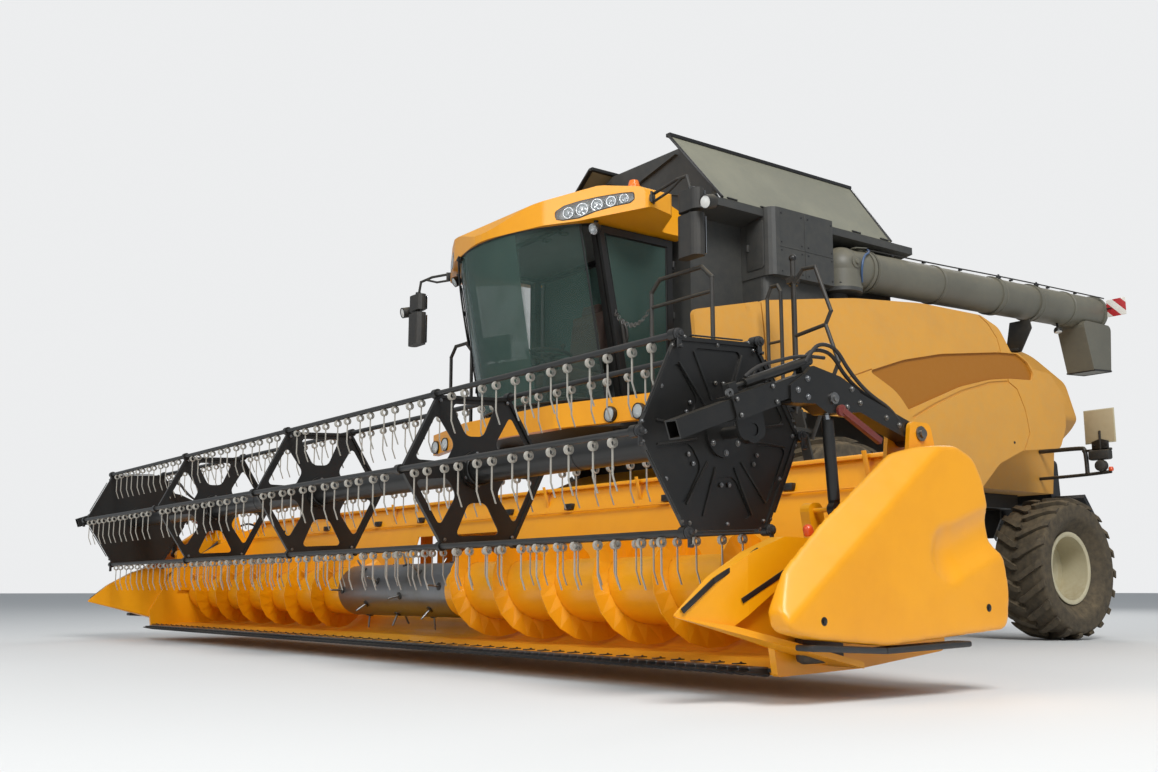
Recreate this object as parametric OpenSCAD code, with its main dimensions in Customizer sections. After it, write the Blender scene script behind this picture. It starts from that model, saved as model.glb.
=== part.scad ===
/* [Machine] */
// Distance from the front axle to the rear axle
wheelbase = 3770; // [3700:10:3800]
// Width of the threshing body between its side sheets
body_w = 1640; // [1620:10:1640]
// Height of the flange round the top of the grain tank
tank_rim_z = 3870; // [3850:10:3900]
// Thickness of the sheet in tanks, covers and troughs
sheet = 12; // [10:1:16]

/* [Wheels] */
// Diameter of a front tyre over its lugs
front_tyre_d = 1870; // [1850:10:1880]
// Width of a front tyre
front_tyre_w = 800; // [780:10:820]
// Seat diameter of a front rim
front_rim_d = 820; // [800:10:840]
// Distance between the middles of the front tyres
front_track = 2700; // [2690:10:2720]
// Diameter of a rear tyre over its lugs
rear_tyre_d = 1500; // [1480:10:1510]
// Width of a rear tyre
rear_tyre_w = 600; // [580:10:610]
// Seat diameter of a rear rim
rear_rim_d = 711; // [700:1:730]
// Distance between the middles of the rear tyres
rear_track = 2640; // [2630:10:2660]
// Height of the tread lugs
lug_h = 50; // [40:1:55]
// Lugs on each side of a tyre
lug_count = 20; // [16:1:22]

/* [Header] */
// Length of the reel between its end plates
reel_len = 9000; // [8900:50:9000]
// Radius from the reel's shaft to a tine bar
reel_r = 545; // [520:5:550]
// Diameter of a tine bar
bar_d = 34; // [30:1:36]
// Length of a tine below its bar
tine_len = 265; // [230:5:280]
// Thickness of a tine
tine_t = 7; // [6:1:9]
// Pitch of the knife sections and guards
knife_pitch = 76.2; // [76:0.1:77]
// Diameter over the flights of the header auger
flight_d = 660; // [640:5:670]
// Diameter of the header auger's tube
auger_tube_d = 410; // [380:5:430]
// Pitch of the header auger's flights
flight_pitch = 560; // [500:10:620]

/* [Unloading] */
// Diameter of the unloading tube
unload_d = 380; // [360:5:390]
// Reach of the unloading tube from its turret
unload_len = 4530; // [4300:10:4600]

/* [Hidden] */
$fn = 64;
reel_sides = 6;

// The front axle stands this far ahead of the middle of the whole machine
axle_x = 200;
// Running gap between a pin and its hole, and the gap between faces that slide
fit = 0.5;
seat_gap = 0.3;

body_y = body_w / 2;
front_axle_z = front_tyre_d / 2;
rear_axle_z = rear_tyre_d / 2;
rear_axle_x = -wheelbase;
body_floor_z = 1130;
rear_floor_z = 1620;
body_front_x = 800;
tank_floor_z = 2250;
deck_z = 2370;

// Feeder house hinge and the header behind which it hangs
feeder_pivot = [950, 1500];
feeder_front_x = 2600;
feeder_y = 720;
feeder_pin_d = 120;

// Header: knife line, auger shaft, back wall and end walls
knife_x = 3950;
knife_z = 148;
auger_c = [3350, 520];
back_x = 2800;
back_top_z = 1280;
end_y = reel_len / 2 + 60;
end_t = 40;
arm_y = end_y + 190;
arm_w = 100;
shield_y = arm_y + 90;
shield_t = 130;

// Reel: shaft, arm hinge and the elbow and tip of the arm's tube
reel_c = [4160, 1270];
arm_pivot = [3070, 1320];
arm_elbow = [3810, 1540];
arm_tip = [4710, 1220];

function unit(v) = v / norm(v);
function polar(c, r, a) = [c[0] + r * cos(a), c[1] + r * sin(a)];
function arc(c, r, a0, a1, n) = [for (i = [0 : n]) polar(c, r, a0 + (a1 - a0) * i / n)];
function reverse(list) = [for (i = [len(list) - 1 : -1 : 0]) list[i]];
function turn(a) = a > 180 ? a - 360 : a < -180 ? a + 360 : a;

// One corner of a rounded outline: the corner p with its neighbours a and b
function corner(a, p, b, r, steps) =
    let(c = [p[0], p[1]], u = unit([a[0], a[1]] - c), v = unit([b[0], b[1]] - c),
        half = acos(max(-1, min(1, u * v))) / 2)
    r == 0 || half > 89 ? [c] :
    let(m = c + unit(u + v) * r / sin(half), t = r / tan(half),
        s = c + u * t - m, e = c + v * t - m,
        a0 = atan2(s[1], s[0]), da = turn(atan2(e[1], e[0]) - a0))
    [for (k = [0 : steps]) polar(m, r, a0 + da * k / steps)];

// Outline with rounded corners: each row is x, y, corner radius
function rounded(rows, steps = 4) =
    let(n = len(rows))
    [for (i = [0 : n - 1])
        each corner(rows[(i + n - 1) % n], rows[i], rows[(i + 1) % n], rows[i][2], steps)];

module rounded_poly(rows, steps = 4) {
    polygon(rounded(rows, steps));
}

// A side view outline (x, z) made solid from y0 to y1
module side_view(y0, y1) {
    translate([0, y1, 0]) rotate([90, 0, 0]) linear_extrude(y1 - y0) children();
}

// A front view outline (y, z) made solid from x0 to x1
module front_view(x0, x1) {
    translate([x0, 0, 0]) rotate([90, 0, 90]) linear_extrude(x1 - x0) children();
}

// A plan outline (x, y) made solid from z0 to z1
module plan_view(z0, z1) {
    translate([0, 0, z0]) linear_extrude(z1 - z0) children();
}

module box(low, high) {
    translate(low) cube(high - low);
}

// Both sides of the machine
module both() {
    children();
    mirror([0, 1, 0]) children();
}

// A round bar along Y through (x, z)
module bar_y(c, y0, y1, d) {
    translate([c[0], y0, c[1]]) rotate([-90, 0, 0]) cylinder(h = y1 - y0, d = d);
}

// A round bar from p to q
module rod(p, q, d) {
    v = q - p;
    translate(p) rotate([0, acos(v[2] / norm(v)), atan2(v[1], v[0])]) cylinder(h = norm(v), d = d);
}

// A bent tube through a list of points, with a slightly fuller ball at each bend
module tube_run(points, d) {
    for (i = [0 : len(points) - 2]) rod(points[i], points[i + 1], d);
    for (i = [1 : len(points) - 2]) translate(points[i]) sphere(d = 1.08 * d);
}

// A flat bar in side view from p to q
module side_bar(p, q, w) {
    u = unit(q - p);
    n = [-u[1], u[0]] * w / 2;
    polygon([p - n, q - n, q + n, p + n]);
}

module place() {
    translate([axle_x, 0, 0]) children();
}

// Wheels

// Tyre on its side axis: carcass with chevron lugs cut to a crowned envelope
module tyre(d, w, rim_d) {
    r = d / 2;
    base = r - lug_h;
    seat = rim_d / 2 + seat_gap;
    bead_y = 0.29 * w;
    shoulder = 0.40 * w;
    half = [[seat, bead_y, 0], [seat + 40, bead_y, 0], [(seat + base) / 2, w / 2, 90],
            [base - 20, w / 2 - 10, 45], [base, shoulder - 60, 0]];
    lug = [[-21, -12], [-21, 34], [0.30 * w - 41, w / 2], [0.30 * w + 34, w / 2], [44, 34], [21, -12]];
    rotate([90, 0, 0]) union() {
        rotate_extrude() rounded_poly(concat(half, [for (p = reverse(half)) [p[0], -p[1], p[2]]]));
        intersection() {
            union() for (i = [0 : lug_count - 1]) for (side = [0, 1])
                rotate([0, 0, (i + side / 2) * 360 / lug_count]) mirror([0, 0, side])
                    rotate([0, 90, 0]) translate([0, 0, base - 40])
                        linear_extrude(lug_h + 60) mirror([1, 0]) rotate(90) mirror([0, 1])
                            polygon(lug);
            rotate_extrude() polygon([[base - 35, -w / 2 + 8], [base + 5, -w / 2 + 3], [r - 16, -shoulder],
                [r, -shoulder / 3], [r, shoulder / 3], [r - 16, shoulder], [base + 5, w / 2 - 3],
                [base - 35, w / 2 - 8]]);
        }
    }
}

// Rim on its side axis: barrel, flanges and a dished disc whose hub face stands at disc_y
module rim(w, rim_d, disc_y, hub_d, bolts) {
    r = rim_d / 2;
    half_w = 0.29 * w + seat_gap;
    t = 10;
    hub_r = hub_d / 2;
    edge = [[r - 2 * t, -half_w - t], [r + 22, -half_w - t], [r + 22, -half_w], [r, -half_w]];
    rotate([90, 0, 0]) difference() {
        union() {
            rotate_extrude() polygon(concat(edge, [for (p = reverse(edge)) [p[0], -p[1]]]));
            rotate_extrude() polygon([[0, disc_y], [hub_r + 40, disc_y], [r - 90, disc_y - 70],
                [r - 15, disc_y - 70], [r - 15, disc_y - 90], [r - 100, disc_y - 90],
                [hub_r + 30, disc_y - 22], [0, disc_y - 22]]);
        }
        for (i = [0 : bolts - 1]) rotate(i * 360 / bolts)
            translate([hub_r - 22, 0, disc_y - 40]) cylinder(h = 80, d = 22);
    }
}

hub_face_y = 1030;
rear_hub_y = 1110;
front_disc = front_track / 2 - hub_face_y - seat_gap;
rear_disc = rear_track / 2 - rear_hub_y - seat_gap;

module front_wheel_at(side) {
    mirror([0, side > 0 ? 0 : 1, 0]) translate([0, front_track / 2, front_axle_z]) children();
}

module rear_wheel_at(side) {
    mirror([0, side > 0 ? 0 : 1, 0]) translate([rear_axle_x, rear_track / 2, rear_axle_z]) children();
}

module front_tyre(side) {
    color("#3c362c") front_wheel_at(side) tyre(front_tyre_d, front_tyre_w, front_rim_d);
}

module rear_tyre(side) {
    color("#3c362c") rear_wheel_at(side) tyre(rear_tyre_d, rear_tyre_w, rear_rim_d);
}

module front_rim(side) {
    color("#c9c4a8") front_wheel_at(side) rim(front_tyre_w, front_rim_d, front_disc, 300, 10);
}

module rear_rim(side) {
    color("#c9c4a8") rear_wheel_at(side) rim(rear_tyre_w, rear_rim_d, rear_disc, 220, 10);
}

// Chassis

rail_z = [1150, 1350];
rail_w = 100;
kingpin_y = 880;
kingpin_d = 70;

// Rails beside the body, front axle with its final drives, rear beams and the rear hitch
module chassis_frame() {
    color("#3a3b3a") {
        both() union() {
            box([-2400, body_y, rail_z[0]], [body_front_x, body_y + rail_w, rail_z[1]]);
            // final drive case and spindle
            bar_y([0, front_axle_z], 640, hub_face_y - 90, 2 * (body_floor_z - front_axle_z - 5));
            bar_y([0, front_axle_z], hub_face_y - 92, hub_face_y, 300);
            box([-110, 0, front_axle_z - 130], [110, 660, front_axle_z + 130]);
            // uprights and beams that carry the cab
            box([body_front_x - 100, body_y, rail_z[1] - 1], [body_front_x, body_y + rail_w, 1701]);
            box([body_front_x - 100, body_y, 1700], [1900, body_y + rail_w, cab_floor_z - seat_gap]);
            // brackets of the lift cylinders, with their pins
            side_view(550, 575) polygon([[0, 820], [0, 560], [200, 560], [310, 600], [310, 660], [120, 880]]);
            side_view(645, 670) polygon([[0, 820], [0, 560], [200, 560], [310, 600], [310, 660], [120, 880]]);
            bar_y(lift_foot, 560, 660, lift_pin_d);
            // bearings of the feeder house
            difference() {
                side_view(feeder_y + 25, body_y + 10) union() {
                    polygon([[body_front_x + 1, 1400], [body_front_x + 1, 1720], [1080, 1720], [1060, 1480]]);
                    translate(feeder_pivot) circle(d = 220);
                }
                bar_y(feeder_pivot, feeder_y, body_y + 20, feeder_pin_d + 2 * fit);
            }
        }
        rear_frame();
    }
}

module rear_frame() {
    beam_y = 350;
    pivot_y = 180;
    union() {
        both() box([hood_rear_x + 200, beam_y, rear_floor_z - 160], [-2850, beam_y + 100, rear_floor_z]);
        for (x = [hood_rear_x + 200, -2950]) box([x, -beam_y, rear_floor_z - 160], [x + 100, beam_y, rear_floor_z]);
        for (x = [rear_axle_x - 180, rear_axle_x + 130]) front_view(x, x + 50)
            polygon([[-beam_y, rear_floor_z - 150], [-beam_y, rear_floor_z - 200], [-pivot_y, 900],
                     [-pivot_y / 2, rear_axle_z - 80], [pivot_y / 2, rear_axle_z - 80], [pivot_y, 900],
                     [beam_y, rear_floor_z - 200], [beam_y, rear_floor_z - 150]]);
        translate([rear_axle_x - 190, 0, rear_axle_z + 10]) rotate([0, 90, 0]) cylinder(h = 380, d = axle_pin_d);
        hitch();
    }
}

axle_pin_d = 80;
hood_rear_x = -4700;
hitch_x = hood_rear_x + 60;
hitch_z = [1180, 1300];
hitch_pin_d = 38;

// Clevis for towing, on a drop plate behind the rear beams
module hitch() {
    difference() {
        union() {
            front_view(hood_rear_x + 170, hood_rear_x + 200)
                polygon([[-200, rear_floor_z], [-200, 1350], [-90, 1130], [90, 1130], [200, 1350], [200, rear_floor_z]]);
            for (z = hitch_z) box([hitch_x - 60, -80, z - 15], [hitch_x + 120, 80, z + 15]);
        }
        translate([hitch_x, 0, 1100]) cylinder(h = 300, d = hitch_pin_d);
    }
}

// Rear axle: swinging beam on its pin, with a kingpin boss at each end
module rear_axle() {
    color("#3a3b3a") difference() {
        union() {
            front_view(rear_axle_x - 90, rear_axle_x + 90)
                polygon([[-kingpin_y, rear_axle_z - 80], [-200, rear_axle_z - 110], [200, rear_axle_z - 110],
                         [kingpin_y, rear_axle_z - 80], [kingpin_y, rear_axle_z + 80],
                         [200, rear_axle_z + 130], [-200, rear_axle_z + 130], [-kingpin_y, rear_axle_z + 80]]);
            translate([rear_axle_x - 125, 0, rear_axle_z + 10]) rotate([0, 90, 0]) cylinder(h = 250, d = 200);
            both() translate([rear_axle_x, kingpin_y, rear_axle_z - 110]) cylinder(h = 220, d = 140);
        }
        translate([rear_axle_x - 130, 0, rear_axle_z + 10]) rotate([0, 90, 0])
            cylinder(h = 260, d = axle_pin_d + 2 * seat_gap);
        both() translate([rear_axle_x, kingpin_y, rear_axle_z - 120]) cylinder(h = 240, d = kingpin_d + 2 * fit);
    }
}

// Steering knuckle: kingpin between two ears, web and wheel spindle
module knuckle(side) {
    color("#3a3b3a") mirror([0, side > 0 ? 0 : 1, 0]) translate([rear_axle_x, kingpin_y, rear_axle_z]) union() {
        translate([0, 0, -150]) cylinder(h = 300, d = kingpin_d);
        for (z = [-150, 118]) translate([0, 0, z]) {
            cylinder(h = 32, d = 130);
            box([-65, 0, 0], [65, 130, 32]);
        }
        box([-65, 95, -150], [65, 130, 150]);
        translate([0, 125, 0]) rotate([-90, 0, 0]) cylinder(h = rear_hub_y - kingpin_y - 125, d = 200);
    }
}

// Threshing body under the tank, from the feeder's mouth to the rear hood
module separator_body() {
    color("#4a4c4b") difference() {
        side_view(-body_y, body_y)
            rounded_poly([[body_front_x, body_floor_z, 20], [-420, body_floor_z, 0], [-600, 720, 120],
                          [-2100, 720, 160], [-2700, rear_floor_z, 0], [-2950, rear_floor_z, 0],
                          [-2950, deck_z, 0], [-1450, deck_z, 0], [-1450, tank_floor_z, 0],
                          [body_front_x, tank_floor_z, 40]]);
        box([body_front_x - 250, -feeder_y - 20, 1160], [body_front_x + 1, feeder_y + 20, 1640]);
    }
}

module engine() {
    color("#55585a") box([-2600, -480, deck_z + seat_gap], [-1650, 480, deck_z + 750]);
}

// Cover over the engine: open underneath, with a low crowned top
module engine_hood() {
    y = 1180;
    top = 3240;
    color("#4a4c4b") difference() {
        front_view(-2948, -1440)
            rounded_poly([[-y, deck_z + seat_gap, 0], [-y, top - 60, 60], [-y + 200, top, 60],
                          [y - 200, top, 60], [y, top - 60, 60], [y, deck_z + seat_gap, 0]]);
        front_view(-2948 + sheet, -1440 - sheet)
            polygon([[-y + sheet, deck_z - 5], [-y + sheet, top - 80], [y - sheet, top - 80], [y - sheet, deck_z - 5]]);
    }
}

// Straw hood behind the walkers: a tall box that narrows to the rear and below
module rear_hood() {
    color("#3f403f") intersection() {
        side_view(-1300, 1300)
            rounded_poly([[-2951, rear_floor_z + seat_gap, 0], [-2951, 3230, 0], [-3550, 3200, 120],
                          [-4450, 2850, 200], [hood_rear_x, 2350, 150], [hood_rear_x + 60, rear_floor_z + seat_gap, 0]]);
        front_view(hood_rear_x - 50, -2900)
            rounded_poly([[-820, 1500, 0], [-850, 2150, 60], [-1180, 2450, 100], [-1180, 3100, 100],
                          [-950, 3300, 60], [950, 3300, 60], [1180, 3100, 100], [1180, 2450, 100],
                          [850, 2150, 60], [820, 1500, 0]]);
    }
}

// Rear face of the hood at height z, with the gap in front of the chopper
function hood_back(z) = hood_rear_x + 60 * (2350 - z) / (2350 - rear_floor_z) - seat_gap;

// Straw chopper at the outlet: rotor case and the spreading plate with its vanes
module chopper() {
    color("#3a3b3a") union() {
        side_view(-790, 790)
            rounded_poly([[hood_back(1640), 1640, 0], [hood_back(2050), 2050, 0], [hood_rear_x - 120, 2000, 60],
                          [hood_rear_x - 150, 1600, 60], [hood_rear_x - 10, 1480, 40]]);
        side_view(-1150, 1150) polygon([[hood_rear_x - 20, 1560], [hood_rear_x - 380, 1180],
                                        [hood_rear_x - 395, 1195], [hood_rear_x - 60, 1600]]);
        for (i = [-4 : 4]) side_view(i * 250 - 6, i * 250 + 6)
            polygon([[hood_rear_x - 30, 1575], [hood_rear_x - 385, 1190], [hood_rear_x - 360, 1120],
                     [hood_rear_x - 10, 1485]]);
    }
}

// Outrigger plates with their rear lamps, on arms from the rear hood
module lamp_arms() {
    x = -4380;
    color("#b9ac93") both() union() {
        box([x - 6, 1330, 1700], [x + 6, 1760, 2480]);
        rod([x, 849, 2090], [x, 1400, 2090], 50);
        rod([x, 834, 1780], [x, 1400, 1780], 40);
        box([x + 6, 1400, 2180], [x + 90, 1690, 2330]);
        translate([x, 1620, 2000]) rotate([0, 90, 0]) cylinder(h = 70, d = 120);
    }
}

// Grain tank

tank_front_x = 1300;
tank_rear_x = -1410;
tank_y = 1160;
rim_y = 1450;

// Tank shell: sloping floor, straight walls and a flange that leans out
module grain_tank() {
    neck_z = tank_rim_z - 110;
    half = [[500, tank_floor_z + seat_gap], [tank_y, 2700], [tank_y, neck_z], [rim_y, tank_rim_z - 70],
            [rim_y, tank_rim_z]];
    inner = [[500 - sheet, tank_floor_z + sheet], [tank_y - sheet, 2706], [tank_y - sheet, neck_z + 6],
             [rim_y - 2 * sheet, tank_rim_z - 70 + sheet], [rim_y - 2 * sheet, tank_rim_z + 1]];
    color("#4a4c4b") union() {
        difference() {
            front_view(tank_rear_x, tank_front_x) polygon(concat(half, [for (p = reverse(half)) [-p[0], p[1]]]));
            front_view(tank_rear_x + sheet, tank_front_x - sheet)
                polygon(concat(inner, [for (p = reverse(inner)) [-p[0], p[1]]]));
        }
        // filling auger up the middle of the tank
        rod([200, 0, tank_floor_z + 46], [-150, 0, 3500], 300);
        // turret under the unloading tube, held to the tank wall
        turret();
        // rails that carry the side panels' hinges
        both() for (x = panel_hinge_x) {
            front_view(x - 30, x + 30) {
                polygon([[tank_y - 5, panel_hinge[1] - 60], [tank_y - 5, panel_hinge[1] - 20],
                         [panel_hinge[0] - 10, panel_hinge[1] + 15], [panel_hinge[0] - 10, panel_hinge[1] - 60]]);
                translate(panel_hinge) circle(d = 40);
            }
            rod([x, panel_hinge[0], panel_hinge[1]], [x + 62, panel_hinge[0], panel_hinge[1]], panel_pin_d);
        }
    }
}

turret_c = [-420, 1370];
turret_d = 350;
turret_top = 3300;

// Pipe up the tank's wall with the ring on which the unloading tube turns
module turret() {
    translate([turret_c[0], turret_c[1], turret_top - 35]) cylinder(h = 35, d = turret_d + 50);
    translate([turret_c[0], tank_y + 135, 2750]) cylinder(h = turret_top - 2780, d = 230);
    box([turret_c[0] - 90, tank_y - 5, 2850], [turret_c[0] + 90, tank_y + 60, 2950]);
}

cover_top_z = 4520;
cover_left_y = 1000;
cover_right_y = -130;

module tank_cover_left() {
    color("#8b8a7c") side_cover(cover_left_y, 1, 1390, -1030, 1150, -1100);
}

module tank_cover_right() {
    color("#8b8a7c") mirror([0, 1, 0]) side_cover(-cover_right_y, -1, 1390, -1030, 1150, -1100);
}

// A folding cover that leans in from the flange at rim_y to top_y
module side_cover(top_y, turned, top_x0, top_x1, low_x0, low_x1) {
    t = sheet;
    run = rim_y - 20 - top_y;
    rise = cover_top_z - tank_rim_z;
    lean = atan2(rise, run);
    slope = norm([run, rise]);
    translate([0, rim_y - 20, tank_rim_z + seat_gap]) rotate([-lean, 0, 0])
        plan_view(0, t) mirror([0, 1]) polygon([[low_x0, 0], [top_x0, slope], [top_x1, slope], [low_x1, 0]]);
}

// Front and rear end covers between the two folding covers
module tank_cover_ends() {
    flange_y = rim_y - 2 * sheet - seat_gap;
    color("#4a4c4b") for (x = [1150, -1060]) front_view(x, x + sheet)
        polygon([[-flange_y, tank_rim_z - 48], [flange_y, tank_rim_z - 48], [flange_y, tank_rim_z - 15],
                 [rim_y - 50, tank_rim_z + 2], [cover_left_y - 20, cover_top_z - 25],
                 [cover_right_y + 40, cover_top_z - 25], [-rim_y + 50, tank_rim_z + 2],
                 [-flange_y, tank_rim_z - 15]]);
}

// Dark box beside the tank, ahead of the turret, cut round the tank's leaning flange
module side_box() {
    y = tank_y + seat_gap;
    top = rim_y + seat_gap;
    color("#4a4c4b") difference() {
        union() {
            plan_view(3260, tank_rim_z + 10)
                rounded_poly([[680, 1000, 0], [680, 1550, 90], [-130, 1550, 20], [-130, 1000, 0]]);
            plan_view(2900, 3261) rounded_poly([[670, 1000, 0], [670, 1450, 60], [-120, 1450, 20], [-120, 1000, 0]]);
        }
        front_view(-200, 750) polygon([[900, 2800], [y, 2800], [y, tank_rim_z - 110 - seat_gap],
                                       [top, tank_rim_z - 70 - seat_gap], [top, tank_rim_z + 20], [900, tank_rim_z + 20]]);
    }
}

// Unloading auger: elbow on its turret, long tube, cuffs and spout
module unloading_auger() {
    tube_z = turret_top + seat_gap + unload_d / 2 + 30;
    rise = 2;
    end_x = turret_c[0] - unload_len;
    color("#66645a") translate([turret_c[0], turret_c[1], tube_z]) union() {
        translate([0, 0, -unload_d / 2 - 30]) cylinder(h = 30, d = turret_d + 50);
        translate([0, 0, -unload_d / 2 - 5]) cylinder(h = unload_d / 2, d = unload_d);
        sphere(d = 1.03 * unload_d);
        rotate([0, -90 + rise, 0]) {
            cylinder(h = unload_len - unload_d / 2, d = unload_d);
            translate([0, 0, 260]) cylinder(h = 40, d = unload_d + 28);
            for (z = [2350, 3050]) translate([0, 0, z]) cylinder(h = 60, d = unload_d + 20);
            translate([0, 0, unload_len - unload_d / 2 - 20]) cylinder(h = 40, d = unload_d + 40);
        }
        // spout, narrower below
        translate([-unload_len + 420, 0, -560]) side_view(-165, 165)
            rounded_poly([[-300, 20, 15], [-360, 560, 60], [230, 560, 60], [60, 0, 15]]);
    }
}

// Cab

cab_floor_z = 1860;
cab_rear_x = 1360;
cab_y = 1020;
glass_top_z = 3560;
sill_z = 2080;
screen_r = 1500;

// Plan line of the curved windscreen at a given forward offset
function screen_arc(x, r, half_y, n) =
    let(a = asin(half_y / r)) [for (i = [0 : n]) polar([x - r * cos(a), 0], r, -a + 2 * a * i / n)];

front_post_x = [1985, 2260];
screen_bulge = screen_r - sqrt(screen_r * screen_r - cab_y * cab_y);

// Floor, rear wall and console of the cab
module cab_base() {
    color("#e8a21a") union() {
        plan_view(cab_floor_z, cab_floor_z + 60)
            polygon(concat([[cab_rear_x, -cab_y]], screen_arc(front_post_x[0], screen_r, cab_y, 10), [[cab_rear_x, cab_y]]));
        difference() {
            plan_view(cab_floor_z, sill_z)
                polygon(concat([[cab_rear_x, -cab_y]], screen_arc(front_post_x[0], screen_r, cab_y, 10), [[cab_rear_x, cab_y]]));
            plan_view(cab_floor_z + 50, sill_z + 1)
                polygon(concat([[cab_rear_x + 40, -cab_y + 40]], screen_arc(front_post_x[0] - 40, screen_r, cab_y - 40, 10),
                               [[cab_rear_x + 40, cab_y - 40]]));
        }
        box([cab_rear_x, -cab_y, sill_z - 1], [cab_rear_x + 40, cab_y, 2700]);
        box([1420, -600, cab_floor_z + 50], [1900, -330, 2450]);
        rod([2050, 0, cab_floor_z + 50], [1980, 0, 2600], 70);
    }
}

// Posts and the roof ring, with the door's place open on the left
module cab_frame() {
    color("#2c2d2c") union() {
        both() {
            side_view(cab_y - 62, cab_y - 5)
                polygon([[front_post_x[0] - 62, sill_z + seat_gap], [front_post_x[0] - 4, sill_z + seat_gap],
                         [front_post_x[1] - 4, glass_top_z + 10], [front_post_x[1] - 62, glass_top_z + 10]]);
            box([cab_rear_x + 41, cab_y - 70, sill_z + seat_gap], [cab_rear_x + 110, cab_y, glass_top_z + 30]);
        }
        for (z = door_hinge_z) {
            plan_view(z - 20, z) polygon([for (p = [[15, -40], [15, 1], [10, 1], [10, 44], [-14, 44], [-14, 1], [3, 1], [3, -40]])
                [door_hinge[0] + p[0], cab_y + p[1]]]);
            translate([door_hinge[0], door_hinge[1], z - 10]) cylinder(h = 65, d = door_pin_d);
        }
        difference() {
            plan_view(glass_top_z, glass_top_z + 60)
                polygon(concat([[cab_rear_x, -cab_y]], screen_arc(front_post_x[1] + 14, screen_r, cab_y, 10),
                               [[cab_rear_x, cab_y]]));
            plan_view(glass_top_z - 1, glass_top_z + 61)
                polygon(concat([[cab_rear_x + 70, -cab_y + 70]],
                               screen_arc(front_post_x[1] - 70, screen_r, cab_y - 70, 10),
                               [[cab_rear_x + 70, cab_y - 70]]));
        }
    }
}

// Front edge of the roof where the lamp clusters sit: start, direction and outline along it
brim_start = [2560, 720];
brim_end = [2090, 1570];
lens_rows = [[106, 3600, 20], [104, 3648, 20], [185, 3692, 40], [330, 3716, 80], [500, 3730, 100], [700, 3735, 60],
             [822, 3729, 25], [826, 3665, 20], [790, 3636, 30], [640, 3626, 60], [480, 3603, 60], [330, 3564, 50],
             [170, 3562, 40]];

module on_brim() {
    v = brim_end - brim_start;
    translate([brim_start[0], brim_start[1], 0]) rotate(atan2(v[1], v[0])) children();
}

// Roof shell: crowned, with a brim over the windscreen and wings at the front corners
module cab_roof() {
    low = glass_top_z - 15;
    top = glass_top_z + 60 + seat_gap;
    half = [[1600, low + 42, 0], [1500, top + 145, 60], [1200, top + 200, 100], [600, top + 245, 400]];
    plan = [[1340, 1150, 80], [1620, 1150, 60], [1800, 1500, 100], [brim_end[0], brim_end[1], 70],
            [brim_start[0], brim_start[1], 300]];
    color("#f0a818") union() {
        difference() {
            intersection() {
                plan_view(low, top + 300) rounded_poly(concat([for (p = plan) [p[0], p[1], p[2]]], [[2750, 0, 900]],
                    [for (p = reverse(plan)) [p[0], -p[1], p[2]]]));
                front_view(1300, 2800) rounded_poly(concat([[1000, low, 0]], half,
                    [for (p = reverse(half)) [-p[0], p[1], p[2]]], [[-1000, low, 0]]));
                side_view(-1650, 1650)
                    rounded_poly([[1330, low - 1, 0], [1330, top + 130, 40], [1700, top + 262, 200],
                                  [2150, top + 250, 200], [2600, top + 130, 60], [2760, low + 20, 10],
                                  [2760, low - 1, 0]]);
            }
            plan_view(low - 10, top)
                polygon(concat([[1300, -cab_y - seat_gap]],
                               screen_arc(front_post_x[1] + 30, screen_r, cab_y + seat_gap, 10),
                               [[1300, cab_y + seat_gap]]));
            both() on_brim() side_view(-60, 40 + seat_gap) offset(delta = seat_gap) rounded_poly(lens_rows, 3);
        }
        both() translate([1850, 1060, top + 120]) cylinder(h = beacon_z - top - 120 - seat_gap, d = 140);
    }
}

// Windscreen, right window and rear window
module cab_glass() {
    color("#9fb4ac", 0.4) {
        screen();
        side_view(-cab_y + 10, -cab_y + 18)
            polygon([[cab_rear_x + 112, sill_z + seat_gap], [front_post_x[0] - 70, sill_z + seat_gap],
                     [front_post_x[1] - 70, glass_top_z - seat_gap], [cab_rear_x + 112, glass_top_z - seat_gap]]);
        box([cab_rear_x + 15, -cab_y + 100, 2701], [cab_rear_x + 23, cab_y - 100, glass_top_z - seat_gap]);
    }
}

// The windscreen leans out to the top: a sheared sheet cut from a tilted cylinder
module screen() {
    lean = atan2(front_post_x[1] - front_post_x[0], glass_top_z - sill_z);
    intersection() {
        translate([front_post_x[0] + screen_bulge - screen_r, 0, sill_z]) rotate([0, lean, 0]) difference() {
            translate([0, 0, -300]) cylinder(h = 2400, r = screen_r, $fn = 128);
            translate([0, 0, -301]) cylinder(h = 2402, r = screen_r - 8, $fn = 128);
        }
        box([front_post_x[0] - 20, -cab_y + 70, sill_z + seat_gap], [3000, cab_y - 70, glass_top_z - seat_gap]);
    }
}

door_y = cab_y + 4;
// Hinge line of the door, and the feet of its two knuckles
door_hinge = [1402, door_y + 28];
door_hinge_z = [2300, 3300];
door_pin_d = 14;

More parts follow.
